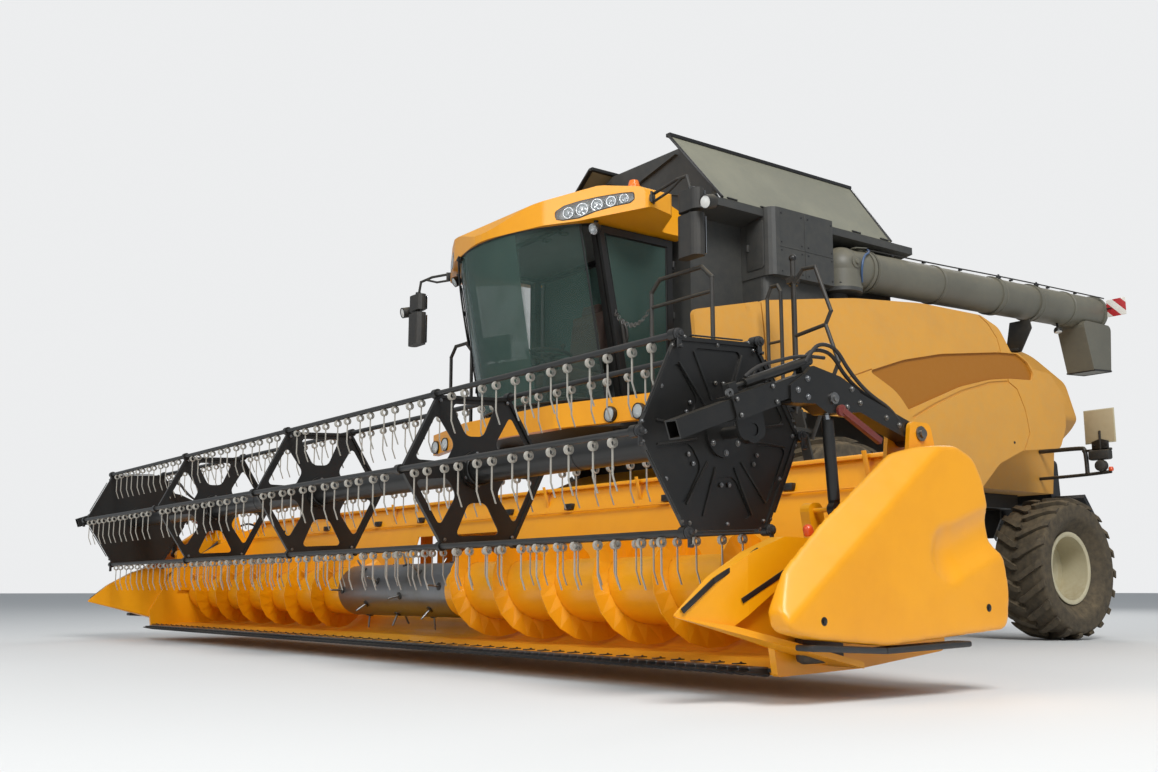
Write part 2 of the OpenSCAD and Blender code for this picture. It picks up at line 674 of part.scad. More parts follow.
// Door frame on the left side, hinged at its rear edge
module cab_door() {
    z0 = sill_z + 10;
    z1 = glass_top_z - 32;
    color("#2c2d2c") difference() {
        union() {
            side_view(door_y, door_y + 36)
                polygon([[cab_rear_x + 60, z0], [front_post_x[0] - 20, z0], [front_post_x[1] - 20, z1],
                         [cab_rear_x + 60, z1]]);
            for (z = door_hinge_z) {
                translate([door_hinge[0], door_hinge[1], z + seat_gap]) cylinder(h = 50, d = 34);
                box([door_hinge[0], door_hinge[1] - 10, z + seat_gap], [cab_rear_x + 70, door_y + 35, z + 50]);
            }
        }
        side_view(door_y - 1, door_y + 37)
            polygon([[cab_rear_x + 120, z0 + 60], [front_post_x[0] - 80, z0 + 60],
                     [front_post_x[1] - 80, z1 - 60], [cab_rear_x + 120, z1 - 60]]);
        for (z = door_hinge_z) translate([door_hinge[0], door_hinge[1], z - 1])
            cylinder(h = 60, d = door_pin_d + 2 * fit);
    }
}

module door_glass() {
    z0 = sill_z + 70 + seat_gap;
    z1 = glass_top_z - 92 - seat_gap;
    color("#9fb4ac", 0.4) side_view(door_y + 12, door_y + 20)
        polygon([[cab_rear_x + 120 + seat_gap, z0], [front_post_x[0] - 80 - seat_gap, z0],
                 [front_post_x[1] - 80 - seat_gap, z1], [cab_rear_x + 120 + seat_gap, z1]]);
}

module seat() {
    color("#5c4a44") union() {
        side_view(-250, 250) rounded_poly([[1470, 2330, 50], [1960, 2330, 50], [1960, 2470, 50], [1600, 2450, 40],
                                           [1560, 3060, 45], [1450, 3060, 45]]);
        box([1550, -200, cab_floor_z + 60 + seat_gap], [1880, 200, 2340]);
    }
}

// Yellow beam under the windscreen with round sockets for the lamps
module bumper() {
    x = front_post_x[0] + screen_bulge + 45;
    color("#f0a818") difference() {
        plan_view(cab_floor_z - 25, sill_z - 45)
            rounded_poly([[x - 90, -800, 0], [x - 330, -1710, 0], [x - 250, -1710, 60], [x - 130, -1200, 60],
                          [x, -700, 200], [x, 700, 200], [x - 130, 1200, 60], [x - 250, 1710, 60],
                          [x - 330, 1710, 0], [x - 90, 800, 0]]);
        plan_view(cab_floor_z - 30, sill_z)
            polygon(concat([[cab_rear_x, -cab_y - seat_gap]],
                           screen_arc(front_post_x[0] + seat_gap, screen_r, cab_y + seat_gap, 10),
                           [[cab_rear_x, cab_y + seat_gap]]));
        both() for (p = bumper_lamps) translate([p[0], p[1], 1900]) rotate([0, 90, 0])
            cylinder(h = 200, d = lamp_d + 2 * seat_gap);
    }
}

lamp_d = 130;
// Bottoms of the bumper's lamp sockets: x, y
bumper_lamps = [[2245, 1270], [2185, 1550]];

// Head lamps in the bumper and work lamps under the roof's corners
module lamps() {
    color("#e6e2d4") both() {
        for (p = bumper_lamps) translate([p[0] + seat_gap, p[1], 1900]) rotate([0, 90, 0])
            cylinder(h = 60, d = lamp_d);
        // lamp cluster in the roof's wing, and the work lamp that hangs under it
        on_brim() side_view(-4, 40) rounded_poly(lens_rows, 3);
        rod([2262, 1086, 3498], [2328, 1100, 3462], 100);
        translate([2285, 1090, 3500]) cylinder(h = glass_top_z - 15.3 - 3500, d = 24);
    }
}

beacon_z = 3850;

module beacons() {
    color("#e8821a") both() translate([1850, 1060, beacon_z]) union() {
        cylinder(h = 90, d = 110);
        translate([0, 0, 90]) cylinder(h = 50, d1 = 110, d2 = 80);
    }
}

// Mirrors: loop arms from plates on the roof's wings, each with a wide and a tall housing
module mirrors() {
    color("#2c2d2c") both() union() {
        on_brim() side_view(-40, 30) polygon([[976, 3610], [990, 3610], [990, 3700], [976, 3700]]);
        tube_run([[2075, 1570, 3688], [2110, 1900, 3715], [2150, 2060, 3690], [2150, 2110, 3540]], 26);
        tube_run([[2075, 1570, 3622], [2110, 1800, 3640], [2130, 1985, 3700]], 22);
        plan_view(3390, 3555) rounded_poly([[2205, 1985, 50], [2205, 2235, 50], [2110, 2225, 40], [2110, 1995, 40]]);
        plan_view(3025, 3360) rounded_poly([[2215, 1980, 60], [2215, 2240, 60], [2105, 2228, 45], [2105, 1992, 45]]);
        translate([2150, 2110, 3350]) cylinder(h = 50, d = 50);
        rod([2150, 2220, 3430], [2160, 2270, 3430], 30);
        rod([2130, 2320, 3420], [2210, 2330, 3400], 110);
        rod([2160, 2260, 3430], [2165, 2320, 3418], 28);
    }
}

platform_z = 1960;

// Walkway round the left of the cab with its railings, and the right one
module platform() {
    t = 40;
    color("#2c2d2c") union() {
        plan_view(platform_z - t, platform_z)
            polygon([[600, body_y + 100 + seat_gap], [600, 1750], [880, 1750], [880, 1980], [2140, 1980],
                     [2140, 1780], [2080, 1700], [1970, 1060], [1350, 1060], [1350, body_y + 100 + seat_gap]]);
        mirror([0, 1, 0]) plan_view(platform_z - t, platform_z)
            polygon([[600, body_y + 100 + seat_gap], [600, 1720], [2040, 1720], [1970, 1060], [1350, 1060],
                     [1350, body_y + 100 + seat_gap]]);
        tube_run([[2050, 1540, platform_z - 10], [2100, 1570, 2200], [2100, 1570, 2860], [2100, 1670, 2950],
                  [2100, 2160, 2950], [2100, 2270, 2850], [2100, 2270, 2200], [2100, 1960, platform_z - 20]], 34);
        rod([2100, 1570, 2740], [2100, 2270, 2740], 28);
        tube_run([[960, 1740, platform_z - 10], [960, 1740, 2950], [960, 1790, 3040], [960, 1860, 3040], [960, 1895, 2980], [960, 1895, platform_z - 10]], 32);
        rod([960, 1740, 2560], [960, 1895, 2560], 24);
        mirror([0, 1, 0]) tube_run([[1990, 1300, platform_z - 10], [1990, 1300, 2860], [1990, 1400, 2950],
            [1990, 1600, 2950], [1990, 1690, 2850], [1990, 1690, platform_z - 10]], 34);
        // post on which the ladder swings
        translate([ladder_pivot[0], ladder_pivot[1], platform_z - 30]) cylinder(h = 1280, d = 45);
        box([880, 1940, platform_z - 60], [ladder_pivot[0] + 31, ladder_pivot[1] + 26, platform_z - 10]);
        // arms from the body to the walkways
        both() for (x = [680, 1500]) box([x, x > 1300 ? cab_y + seat_gap : body_y + 100 + seat_gap, platform_z - 100],
                                         [x + 60, 1700, platform_z - t + 1]);
    }
}

ladder_pivot = [960, 2040];

// Boarding ladder that leans out from its post, with a handrail loop on each side
module ladder() {
    top = [ladder_pivot[1] + 60, platform_z - 20];
    foot = [ladder_pivot[1] + 430, 480];
    color("#2c2d2c") union() {
        for (x = [0, 480]) front_view(ladder_pivot[0] + 45 + x, ladder_pivot[0] + 65 + x) side_bar(top, foot, 90);
        for (i = [0 : 4]) let(p = top + (foot - top) * (0.12 + i * 0.21))
            box([ladder_pivot[0] + 50, p[0] - 110, p[1] - 15], [ladder_pivot[0] + 540, p[0] + 110, p[1] + 15]);
        for (z = [platform_z + 10, 3000]) difference() {
            union() {
                translate([ladder_pivot[0], ladder_pivot[1], z]) cylinder(h = 80, d = 75);
                box([ladder_pivot[0], ladder_pivot[1] - 20, z + 10], [ladder_pivot[0] + 70, ladder_pivot[1] + 70, z + 60]);
            }
            translate([ladder_pivot[0], ladder_pivot[1], z - 1]) cylinder(h = 82, d = 45 + 2 * fit);
        }
        tube_run([[ladder_pivot[0] + 55, 2095, platform_z - 40], [ladder_pivot[0] + 55, 2095, 3000], [ladder_pivot[0] + 55, 2200, 3100],
                  [ladder_pivot[0] + 55, 2330, 3090], [ladder_pivot[0] + 55, 2480, 2700], [ladder_pivot[0] + 55, 2420, 2600],
                  [ladder_pivot[0] + 55, 2100, 2560]], 32);
        tube_run([[ladder_pivot[0] + 55, 2420, 2600], [ladder_pivot[0] + 55, 2540, 2280], [ladder_pivot[0] + 55, 2480, 2170],
                  [ladder_pivot[0] + 55, 2240, 1700]], 32);
    }
}

// Side panels

panel_hinge = [1450, 3170];
panel_hinge_x = [-700, -1340];
panel_pin_d = 20;
panel_r = 5000;
panel_mid_z = 2300;
panel_face_y = 1600;
panel_t = 40;

panel_rows = [[830, 2050, 30], [840, 2990, 40], [-410, 3200, 2500], [-1450, 3305, 2500], [-2420, 3320, 150],
              [-2700, 3220, 150], [-2840, 2965, 30], [-2960, 2975, 60], [-3150, 2880, 60], [-3200, 2825, 20],
              [-3500, 2810, 150], [-3710, 2600, 150], [-3710, 2250, 200], [-3590, 2010, 80], [-2904, 1940, 300],
              [-2500, 1780, 300], [-2090, 1390, 120], [-1150, 1330, 120], [-980, 1650, 120], [-700, 1960, 160],
              [-300, 2050, 300]];
// Tapered sunk band across the panel: x, z, corner radius
panel_band = [[-500, 2510, 20], [-1024, 2676, 1500], [-1620, 2805, 1500], [-2600, 2940, 1500], [-2940, 2965, 60],
              [-3110, 2890, 80], [-3190, 2770, 50], [-3150, 2700, 30], [-2727, 2672, 800], [-2391, 2626, 1500],
              [-1903, 2508, 1500], [-1050, 2195, 30], [-889, 2351, 600]];
// Parting lines and the groove under the band
panel_seams = [[[-2385, 3320], [-2526, 3234], [-2630, 3096], [-2650, 2945]],
               [[-2600, 2950], [-2721, 2631], [-2851, 2574], [-2966, 2364], [-3027, 2128], [-2904, 1900]],
               [[200, 2250], [-61, 2365], [-543, 2531]]];
panel_groove = [[-1110, 2128], [-1460, 2290], [-1898, 2458], [-2387, 2592], [-2723, 2640]];

// What lies between two radii of the panels' crown, within the outline given
module crowned(y, r0, r1) {
    intersection() {
        side_view(y - 400, y + 50) children();
        translate([-4000, y - panel_r, panel_mid_z]) rotate([0, 90, 0]) difference() {
            cylinder(h = 6000, r = r1, $fn = 256);
            translate([0, 0, -1]) cylinder(h = 6002, r = r0, $fn = 256);
        }
    }
}

// A band of width w along a line of points
module stroke(points, w) {
    for (i = [0 : len(points) - 2]) side_bar(points[i], points[i + 1], w);
    for (i = [1 : len(points) - 2]) translate(points[i]) circle(d = w * 1.07);
}

// One side panel as a crowned sheet with its sunk band, grooves and two hinge knuckles
module side_panel() {
    color("#e0a850") difference() {
        union() {
            crowned(panel_face_y, panel_r - panel_t, panel_r) rounded_poly(panel_rows, 6);
            for (x = panel_hinge_x) front_view(x + 36, x + 54) {
                translate(panel_hinge) circle(d = 44);
                polygon([[panel_hinge[0], panel_hinge[1] - 18], [panel_hinge[0], panel_hinge[1] + 18],
                         [panel_hinge[0] + 50, panel_hinge[1] + 30], [panel_hinge[0] + 55, panel_hinge[1] - 30]]);
            }
        }
        crowned(panel_face_y, panel_r - 24, panel_r + 60) rounded_poly(panel_band, 4);
        crowned(panel_face_y, panel_r - 12, panel_r + 60) {
            for (line = panel_seams) stroke(line, 12);
            stroke(panel_groove, 28);
        }
        for (x = panel_hinge_x) rod([x + 30, panel_hinge[0], panel_hinge[1]],
                                    [x + 60, panel_hinge[0], panel_hinge[1]], panel_pin_d + 2 * fit);
    }
}

module side_panel_left() {
    side_panel();
}

module side_panel_right() {
    mirror([0, 1, 0]) side_panel();
}

// Fixed fairing between the side panel and the cab, held to the tank's wall
module side_fairings() {
    rows = [[852, 2060, 30], [1640, 2060, 30], [1660, 2790, 60], [854, 2980, 30]];
    color("#e0a850") both() union() {
        crowned(panel_face_y, panel_r - panel_t, panel_r) rounded_poly(rows, 6);
        for (z = [2710, 2870]) box([1000, tank_y + seat_gap, z], [1050, panel_face_y - panel_t - 60, z + 40]);
        box([1000, panel_face_y - panel_t - 62, 2300], [1050, panel_face_y - panel_t + 8, 2910]);
    }
}

// Feeder house and its lift cylinders

lift_foot = [250, 620];
lift_eye = [1750, 520];
lift_pin_d = 40;
lift_y = [575, 645];
lift_rod_d = 58;
lift_eye_w = 64;

module feeder_house() {
    t = 20;
    lower = [[845, 1080], [feeder_front_x - 2, 300]];
    upper = [[feeder_front_x - 2, 1010], [1050, 1610]];
    color("#e8a21a") union() {
        difference() {
            side_view(-feeder_y, feeder_y) polygon(concat(lower, upper, arc(feeder_pivot, 130, 60, 180, 8)));
            side_view(-feeder_y + t, feeder_y - t)
                polygon([[700, 1180], [1100, 980], [feeder_front_x, 320], [feeder_front_x, 985], [1050, 1575], [700, 1400]]);
        }
        both() bar_y(feeder_pivot, feeder_y - 30, feeder_y + 100, feeder_pin_d);
        both() for (y = [lift_y[0] - 27, lift_y[1] + 2]) side_view(y, y + 25)
            polygon([[1600, 760], [1700, 480], [1800, 480], [1950, 590], [1900, 700]]);
        both() bar_y(lift_eye, lift_y[0] - 5, lift_y[1] + 5, lift_pin_d);
    }
}

lift_v = lift_eye - lift_foot;
lift_len = norm(lift_v);
lift_angle = atan2(lift_v[1], lift_v[0]);
lift_mid_y = (lift_y[0] + lift_y[1]) / 2;

// A cylinder along +X from its foot: barrel on a neck, and rod whose eye stands at len
module barrel(len, d, bore, pin_d, eye_w, neck) {
    difference() {
        union() {
            translate([neck, 0, 0]) rotate([0, 90, 0]) cylinder(h = len - neck, d = d);
            translate([0, -eye_w / 2, -pin_d / 2 - 8]) cube([neck + 5, eye_w, pin_d + 16]);
            translate([0, -eye_w / 2, 0]) rotate([-90, 0, 0]) cylinder(h = eye_w, d = pin_d + 50);
        }
        translate([neck + 15, 0, 0]) rotate([0, 90, 0]) cylinder(h = len, d = bore);
        translate([0, -eye_w, 0]) rotate([-90, 0, 0]) cylinder(h = 2 * eye_w, d = pin_d + 2 * fit);
    }
}

module ram(from, len, d, pin_d, eye_w) {
    difference() {
        union() {
            translate([from, 0, 0]) rotate([0, 90, 0]) cylinder(h = len - from - pin_d / 2 - 8, d = d);
            translate([len, -eye_w / 2, 0]) rotate([-90, 0, 0]) cylinder(h = eye_w, d = pin_d + 40);
        }
        translate([len, -eye_w, 0]) rotate([-90, 0, 0]) cylinder(h = 2 * eye_w, d = pin_d + 11);
    }
}

module on_lift() {
    translate([lift_foot[0], lift_mid_y, lift_foot[1]]) rotate([0, -lift_angle, 0]) children();
}

module feeder_barrels() {
    color("#2c2d2c") both() on_lift() barrel(1100, 110, lift_rod_d + 1, lift_pin_d, lift_eye_w, 90);
}

module feeder_rods() {
    color("#c9ccd0") both() on_lift() ram(650, lift_len, lift_rod_d, lift_pin_d, lift_eye_w);
}

// Header

trough_r = flight_d / 2 + 22;

// Trough, back wall and beams, with the end walls and the mouth to the feeder
module header_frame() {
    r = trough_r;
    inner = concat([[knife_x - 60, knife_z - 22], [auger_c[0] + 260, auger_c[1] - r + 4]],
                   arc(auger_c, r, -80, -190, 12), [[back_x + 60, 1090], [back_x + 10, back_top_z]]);
    outer = concat([[back_x - 2, back_top_z], [back_x + 48, 1085]], arc(auger_c, r + sheet, -190, -80, 12),
                   [[auger_c[0] + 260, auger_c[1] - r + 4 - sheet], [knife_x - 60, knife_z - 34]]);
    color("#f0a818") difference() {
        union() {
            side_view(-end_y, end_y) polygon(concat(inner, outer));
            // mounting frame round the feeder's mouth
            box([feeder_front_x - 2 + seat_gap, -feeder_y - 60, 205], [feeder_front_x + 45, feeder_y + 60, 1125]);
            // back beams
            box([feeder_front_x + 40, -end_y, back_top_z - 160], [back_x - 1, end_y, back_top_z]);
            box([feeder_front_x + 40, -end_y, 200], [feeder_front_x + 190, end_y, 330]);
            // posts from beam to beam
            for (i = [-5 : 5]) if (i != 0) let(y = i * end_y / 5.2)
                box([feeder_front_x + 60, y - 40, 325], [feeder_front_x + 140, y + 40, back_top_z - 155]);
            box([feeder_front_x + 180, -end_y, 205], [auger_c[0] - 210, end_y, 230]);
            both() side_view(end_y - 1, end_y + end_t) rounded_poly(end_rows);
            both() arm_bracket();
            both() for (p = [[3700, 420], [2950, 520]])
                bar_y(p, end_y + end_t - 2, shield_y + shield_t - 30 - seat_gap, 60);
        }
        box([feeder_front_x - 100, -feeder_y + 25, 330], [auger_c[0] - 300, feeder_y - 25, 980]);
        both() bar_y(auger_c, end_y - 40, end_y + end_t + 1, auger_shaft_d + 2 * fit);
    }
}

auger_shaft_d = 70;

// Side view of an end wall: each row is x, z, corner radius
end_rows = [[2640, 200, 40], [3330, 130, 60], [knife_x - 20, 110, 20], [knife_x + 10, 300, 60],
            [3700, 760, 120], [3000, 1150, 80], [2640, back_top_z, 40]];

reel_foot = [3660, 910];
reel_eye = [3700, 1450];
reel_pin_d = 24;

// Ears for the reel arm's hinge pin and the foot of its lift cylinder
module arm_bracket() {
    pin_d = 50;
    for (y = [arm_y - arm_w / 2 - 32, arm_y + arm_w / 2 + 7]) side_view(y, y + 25)
        rounded_poly([[2900, 1060, 0], [2990, arm_pivot[1] + 60, 40], [3150, arm_pivot[1] + 60, 40], [3200, 1060, 0]]);
    box([2900, end_y + end_t - 1, 1040], [3200, arm_y + arm_w / 2 + 32, 1075]);
    bar_y(arm_pivot, arm_y - arm_w / 2 - 20, arm_y + arm_w / 2 + 20, pin_d);
    bar_y(reel_foot, end_y + end_t - 1, arm_y + 22, reel_pin_d);
    side_view(end_y + 1, end_y + end_t + 20) rounded_poly([[3540, 600, 0], [3605, 950, 40], [3710, 950, 40], [3650, 600, 0]]);
}

// Crop dividers: a folded nose over a long skid, on a plate against the end wall
module dividers() {
    y0 = end_y + end_t + seat_gap;
    color("#f0a818") both() union() {
        side_view(y0, y0 + 12)
            rounded_poly([[4590, 400, 8], [4386, 565, 200], [4162, 685, 200], [3960, 760, 60], [3785, 762, 20],
                          [3785, 215, 20], [3950, 245, 60], [4298, 335, 60]], 4);
        intersection() {
            side_view(y0 + 2, y0 + 200)
                rounded_poly([[4600, 403, 8], [4386, 579, 200], [4162, 698, 200], [3960, 772, 60], [3700, 765, 20],
                              [3692, 745, 0], [4060, 495, 0], [4298, 345, 0]], 4);
            plan_view(100, 900) polygon([[3600, y0 + 1], [3600, y0 + 110], [4200, y0 + 85], [4602, y0 + 9], [4602, y0 + 1]]);
        }
        intersection() {
            side_view(y0 + 4, y0 + 260)
                rounded_poly([[4598, 402, 0], [4298, 328, 100], [3948, 238, 100], [3580, 150, 0], [3580, 180, 0],
                              [3948, 268, 100], [4298, 358, 100]], 4);
            plan_view(100, 900) polygon([[3560, y0 + 3], [3560, y0 + 232], [3950, y0 + 190], [4600, y0 + 10], [4600, y0 + 3]]);
        }
    }
}

// Moulded outer shields of the header's ends: each row is x, z, corner radius
shield_rows = [[4250, 430, 60], [4150, 610, 150], [3880, 836, 600], [3370, 1195, 150], [3180, 1240, 80],
               [2960, 1255, 80], [2810, 1200, 150], [2740, 1080, 100], [2665, 765, 60], [2590, 680, 60],
               [2560, 520, 120], [2590, 320, 70], [3560, 258, 300], [4050, 298, 200], [4230, 335, 70]];
shield_hollow = [[4190, 430, 40], [4105, 585, 100], [3850, 805, 500], [3355, 1155, 100], [3170, 1205, 60],
                 [2970, 1215, 50], [2845, 1170, 100], [2775, 1065, 60], [2705, 760, 40], [2630, 670, 40],
                 [2600, 520, 80], [2625, 355, 40], [3560, 298, 200], [4040, 335, 150], [4185, 368, 40]];

// What the slanted front face of a shield leaves out, d deeper for the hollow inside
module shield_bevel(d) {
    y = shield_y + shield_t;
    translate([3481, 0, 945]) rotate([0, 37, 0]) front_view(-1400, 1400)
        polygon([[y - 0.8 * d, -0.6 * d], [y - 120 - 0.8 * d, 160 - 0.6 * d], [y - 120 - 0.8 * d, 700],
                 [y + 60, 700], [y + 60, -0.6 * d]]);
}

module shields() {
    y = shield_y + shield_t;
    dent = [3060, y + 222, 700];
    color("#f0a818") both() difference() {
        side_view(shield_y, y) rounded_poly(shield_rows, 6);
        difference() {
            side_view(shield_y - 1, y - 30) rounded_poly(shield_hollow, 4);
            shield_bevel(30);
            // the hollow keeps clear of the dent
            translate(dent) sphere(r = 300);
            rod(dent, dent + [-560, 0, 190], 584);
        }
        shield_bevel(0);
        translate(dent) sphere(r = 268);
        rod(dent, dent + [-560, 0, 190], 520);
    }
}

module guards() {
    n = floor(2 * (end_y - 20) / knife_pitch);
    y0 = -n * knife_pitch / 2;
    root = knife_x - 70;
    color("#3e4144") union() plan_view(knife_z - 20, knife_z - 2)
        polygon(concat([[root, y0], [knife_x - 40, y0]],
            [for (i = [0 : n - 1]) each [[knife_x - 40, y0 + (i + 0.28) * knife_pitch], [knife_x + 65, y0 + (i + 0.46) * knife_pitch],
                                         [knife_x + 65, y0 + (i + 0.54) * knife_pitch], [knife_x - 40, y0 + (i + 0.72) * knife_pitch]]],
            [[knife_x - 40, -y0], [root, -y0]]));
}

// Knife: a back bar with pointed sections, sliding on the guards
module knife() {
    n = floor(2 * (end_y - 60) / knife_pitch);
    y0 = -n * knife_pitch / 2;
    root = knife_x - 62;
    color("#8f9296") plan_view(knife_z - 2 + seat_gap, knife_z + 4)
        polygon(concat([[root, y0], [knife_x - 42, y0]],
            [for (i = [0 : n - 1]) each [[knife_x + 32, y0 + (i + 0.40) * knife_pitch], [knife_x + 32, y0 + (i + 0.60) * knife_pitch],
                                         [knife_x - 42, y0 + (i + 1) * knife_pitch]]],
            [[root, -y0]]));
}

auger_half = end_y - 30;
flight_inner_y = 900;
flight_seg = 18;
flight_t = 8;

// Four corner points of a flight's section at a given place along it
function flight_ring(y, a, r0, r1, t) =
    [for (p = [[r0, -t], [r1, -t], [r1, t], [r0, t]]) [p[0] * cos(a), y + p[1] / 2, p[0] * sin(a)]];

// One helical flight from y0 to y1
module flight(y0, y1, hand) {
    turns = abs(y1 - y0) / flight_pitch;
    n = ceil(turns * flight_seg);
    pts = [for (i = [0 : n]) each flight_ring(y0 + (y1 - y0) * i / n, hand * 360 * turns * i / n,
                                              (auger_tube_d / 2 + seat_gap) / cos(180 / flight_seg), flight_d / 2, flight_t)];
    quads = [for (i = [0 : n - 1]) for (k = [0 : 3])
        [i * 4 + k, i * 4 + 4 + k, i * 4 + 4 + (k + 1) % 4, i * 4 + (k + 1) % 4]];
    polyhedron(pts, concat([[0, 1, 2, 3]], quads, [[for (k = [3 : -1 : 0]) n * 4 + k]]), convexity = 10);
}

// Header auger: tube with its end shafts and a flight from each end
module header_auger() {
    color("#e8a21a") translate([auger_c[0], 0, auger_c[1]]) {
        union() {
            bar_y([0, 0], -auger_half, auger_half, auger_tube_d);
            bar_y([0, 0], -end_y - end_t, end_y + end_t, auger_shaft_d);
        }
        flight(auger_half - 10, flight_inner_y, 1);
        mirror([0, 1, 0]) flight(auger_half - 10, flight_inner_y, 1);
    }
}

// Reel carriers

tube_v = arm_tip - arm_elbow;
tube_angle = atan2(tube_v[1], tube_v[0]);
tube_len = norm(tube_v);

// Frame along the straight tube of a reel arm: X along the tube from the elbow
module on_tube() {
    translate([arm_elbow[0], arm_y, arm_elbow[1]]) rotate([0, -tube_angle, 0]) children();
}

tube_h = 90;
ram_z = tube_h / 2 + 45;
ram_rod_d = 25;

// Arms that carry the reel: bent plate, square tube and the fore and aft cylinder
module reel_arms() {
    hub_d = 51;
    color("#3e4144") both() difference() {
        union() {
            side_view(arm_y - arm_w / 2, arm_y + arm_w / 2) {
                side_bar(arm_pivot, arm_elbow, 96);
                translate(arm_pivot) circle(d = 120);
            }
            side_view(arm_y - arm_w / 2, arm_y + arm_w / 2)
                rounded_poly([[3470, 1402, 20], [3485, 1500, 60], [3640, 1565, 80], [3845, 1600, 30], [3885, 1560, 20],
                              [4000, 1490, 15], [4000, 1402, 15], [3830, 1412, 40], [3740, 1372, 50], [3640, 1382, 30]]);
            on_tube() box([-20, -arm_w / 2 + 10, -tube_h / 2], [tube_len, arm_w / 2 - 10, tube_h / 2]);
            // barrel of the fore and aft cylinder
            on_tube() box([0, -22, tube_h / 2 - 5], [60, 22, ram_z]);
            on_tube() translate([-30, 0, ram_z]) rotate([0, 90, 0]) cylinder(h = 485, d = 50);
        }
        bar_y(arm_pivot, arm_y - arm_w, arm_y + arm_w, hub_d);
        on_tube() box([80, -arm_w / 2 + 18, -tube_h / 2 + 8], [tube_len + 1, arm_w / 2 - 18, tube_h / 2 - 8]);
        // room for the eye of the lift cylinder and for the swing of its rod
        bar_y(reel_eye, arm_y - 31, arm_y + 31, 110);
        side_view(arm_y - 31, arm_y + 31) translate(reel_eye) polygon([[-50, 0], [30, 0], [25, -100], [-72, -100]]);
        on_tube() translate([70, 0, ram_z]) rotate([0, 90, 0]) cylinder(h = 400, d = ram_rod_d + 2);
    }
    color("#3e4144") both() bar_y(reel_eye, arm_y - arm_w / 2, arm_y + arm_w / 2, reel_pin_d);
}

reel_v = reel_eye - reel_foot;
reel_cyl_len = norm(reel_v);
reel_cyl_angle = atan2(reel_v[1], reel_v[0]);

module on_reel_lift() {
    translate([reel_foot[0], arm_y, reel_foot[1]]) rotate([0, -reel_cyl_angle, 0]) children();
}

module reel_barrels() {
    color("#2c2d2c") both() on_reel_lift() barrel(440, 60, 31, reel_pin_d, 40, 45);
}

module reel_rods() {
    color("#c9ccd0") both() on_reel_lift() ram(100, reel_cyl_len, 30, reel_pin_d, 40);
}

sleeve_x = [300, 600];

// Sleeves that slide on the arms' tubes, with the reel's bearings
module reel_carriage() {
    w = arm_w / 2 - 10 + 1;
    color("#2c2d2c") both() difference() {
        union() {
            on_tube() box([sleeve_x[0], -w - 12, -tube_h / 2 - 13], [sleeve_x[1], w + 12, tube_h / 2 + 13]);
            side_view(arm_y - w - 17, arm_y - w - 3)
                rounded_poly([[reel_c[0] - 90, reel_c[1] - 40, 50], [reel_c[0] - 50, 1410, 0],
                              [reel_c[0] + 130, 1385, 0], [reel_c[0] + 90, reel_c[1] - 60, 50]]);
            bar_y(reel_c, arm_y - w - 60, arm_y - w - 7, 130);
            on_tube() box([sleeve_x[1] - 80, -22, tube_h / 2 + 5], [sleeve_x[1] - 30, 22, ram_z + 24]);
            on_tube() translate([150, 0, ram_z]) rotate([0, 90, 0]) cylinder(h = sleeve_x[1] - 200, d = ram_rod_d);
        }
        on_tube() box([sleeve_x[0] - 1, -w, -tube_h / 2 - 1], [sleeve_x[1] + 1, w, tube_h / 2 + 1]);
        bar_y(reel_c, arm_y - w - 61, arm_y - w + 12, reel_shaft_d + 2 * fit);
    }
}

reel_tube_d = 178;
reel_shaft_d = 60;
reel_y = reel_len / 2;
spider_y = [for (i = [-1 : 1]) i * reel_len / 4];
plate_t = 8;
boss_d = bar_d + 26;
// How far the reel is turned at rest
reel_turn = -3;

function bar_angle(i) = reel_turn + i * 360 / reel_sides;

module hexagon(r) {
    polygon([for (i = [0 : reel_sides - 1]) polar([0, 0], r, bar_angle(i))]);
}

// One spider with open windows, or an end plate with the windows only pressed into its outer face
module reel_plate(open) {
    hex = reel_r - 8;
    t = open ? plate_t : 2 * plate_t;
    window = [[0.385 * reel_r, -0.117 * reel_r, 60], [0.76 * reel_r, -0.305 * reel_r, 24],
              [0.76 * reel_r, 0.305 * reel_r, 24], [0.385 * reel_r, 0.117 * reel_r, 60]];
    rotate([90, 0, 0]) difference() {
        union() {
            translate([0, 0, -t / 2]) linear_extrude(t) hexagon(hex - 5);
            translate([0, 0, -16]) linear_extrude(32) difference() {
                hexagon(hex);
                hexagon(hex - 24);
            }
            for (i = [0 : reel_sides - 1]) rotate(bar_angle(i))
                translate([reel_r, 0, -22]) cylinder(h = 44, d = boss_d);
            translate([0, 0, -26]) cylinder(h = 52, d = reel_tube_d + 60);
        }
        for (i = [0 : reel_sides - 1]) rotate(bar_angle(i) + 30)
            translate([0, 0, -t]) linear_extrude(open ? 2 * t : t) rounded_poly(window);
        for (i = [0 : reel_sides - 1]) rotate(bar_angle(i))
            translate([reel_r, 0, -30]) cylinder(h = 60, d = bar_d + 2 * fit);
    }
}

// Reel: centre tube, end plates and spiders
module reel() {
    color("#1a1b1c") translate([reel_c[0], 0, reel_c[1]]) union() {
        bar_y([0, 0], -reel_y, reel_y, reel_tube_d);
        bar_y([0, 0], -arm_y + arm_w / 2, arm_y - arm_w / 2, reel_shaft_d);
        for (s = [0, 1]) mirror([0, s, 0]) translate([0, reel_y - 16, 0]) reel_plate(false);
        for (y = spider_y) translate([0, y, 0]) reel_plate(true);
    }
}

tine_pitch = 346;
tine_gap = 150;
coil_d = 50;
pairs = 6;

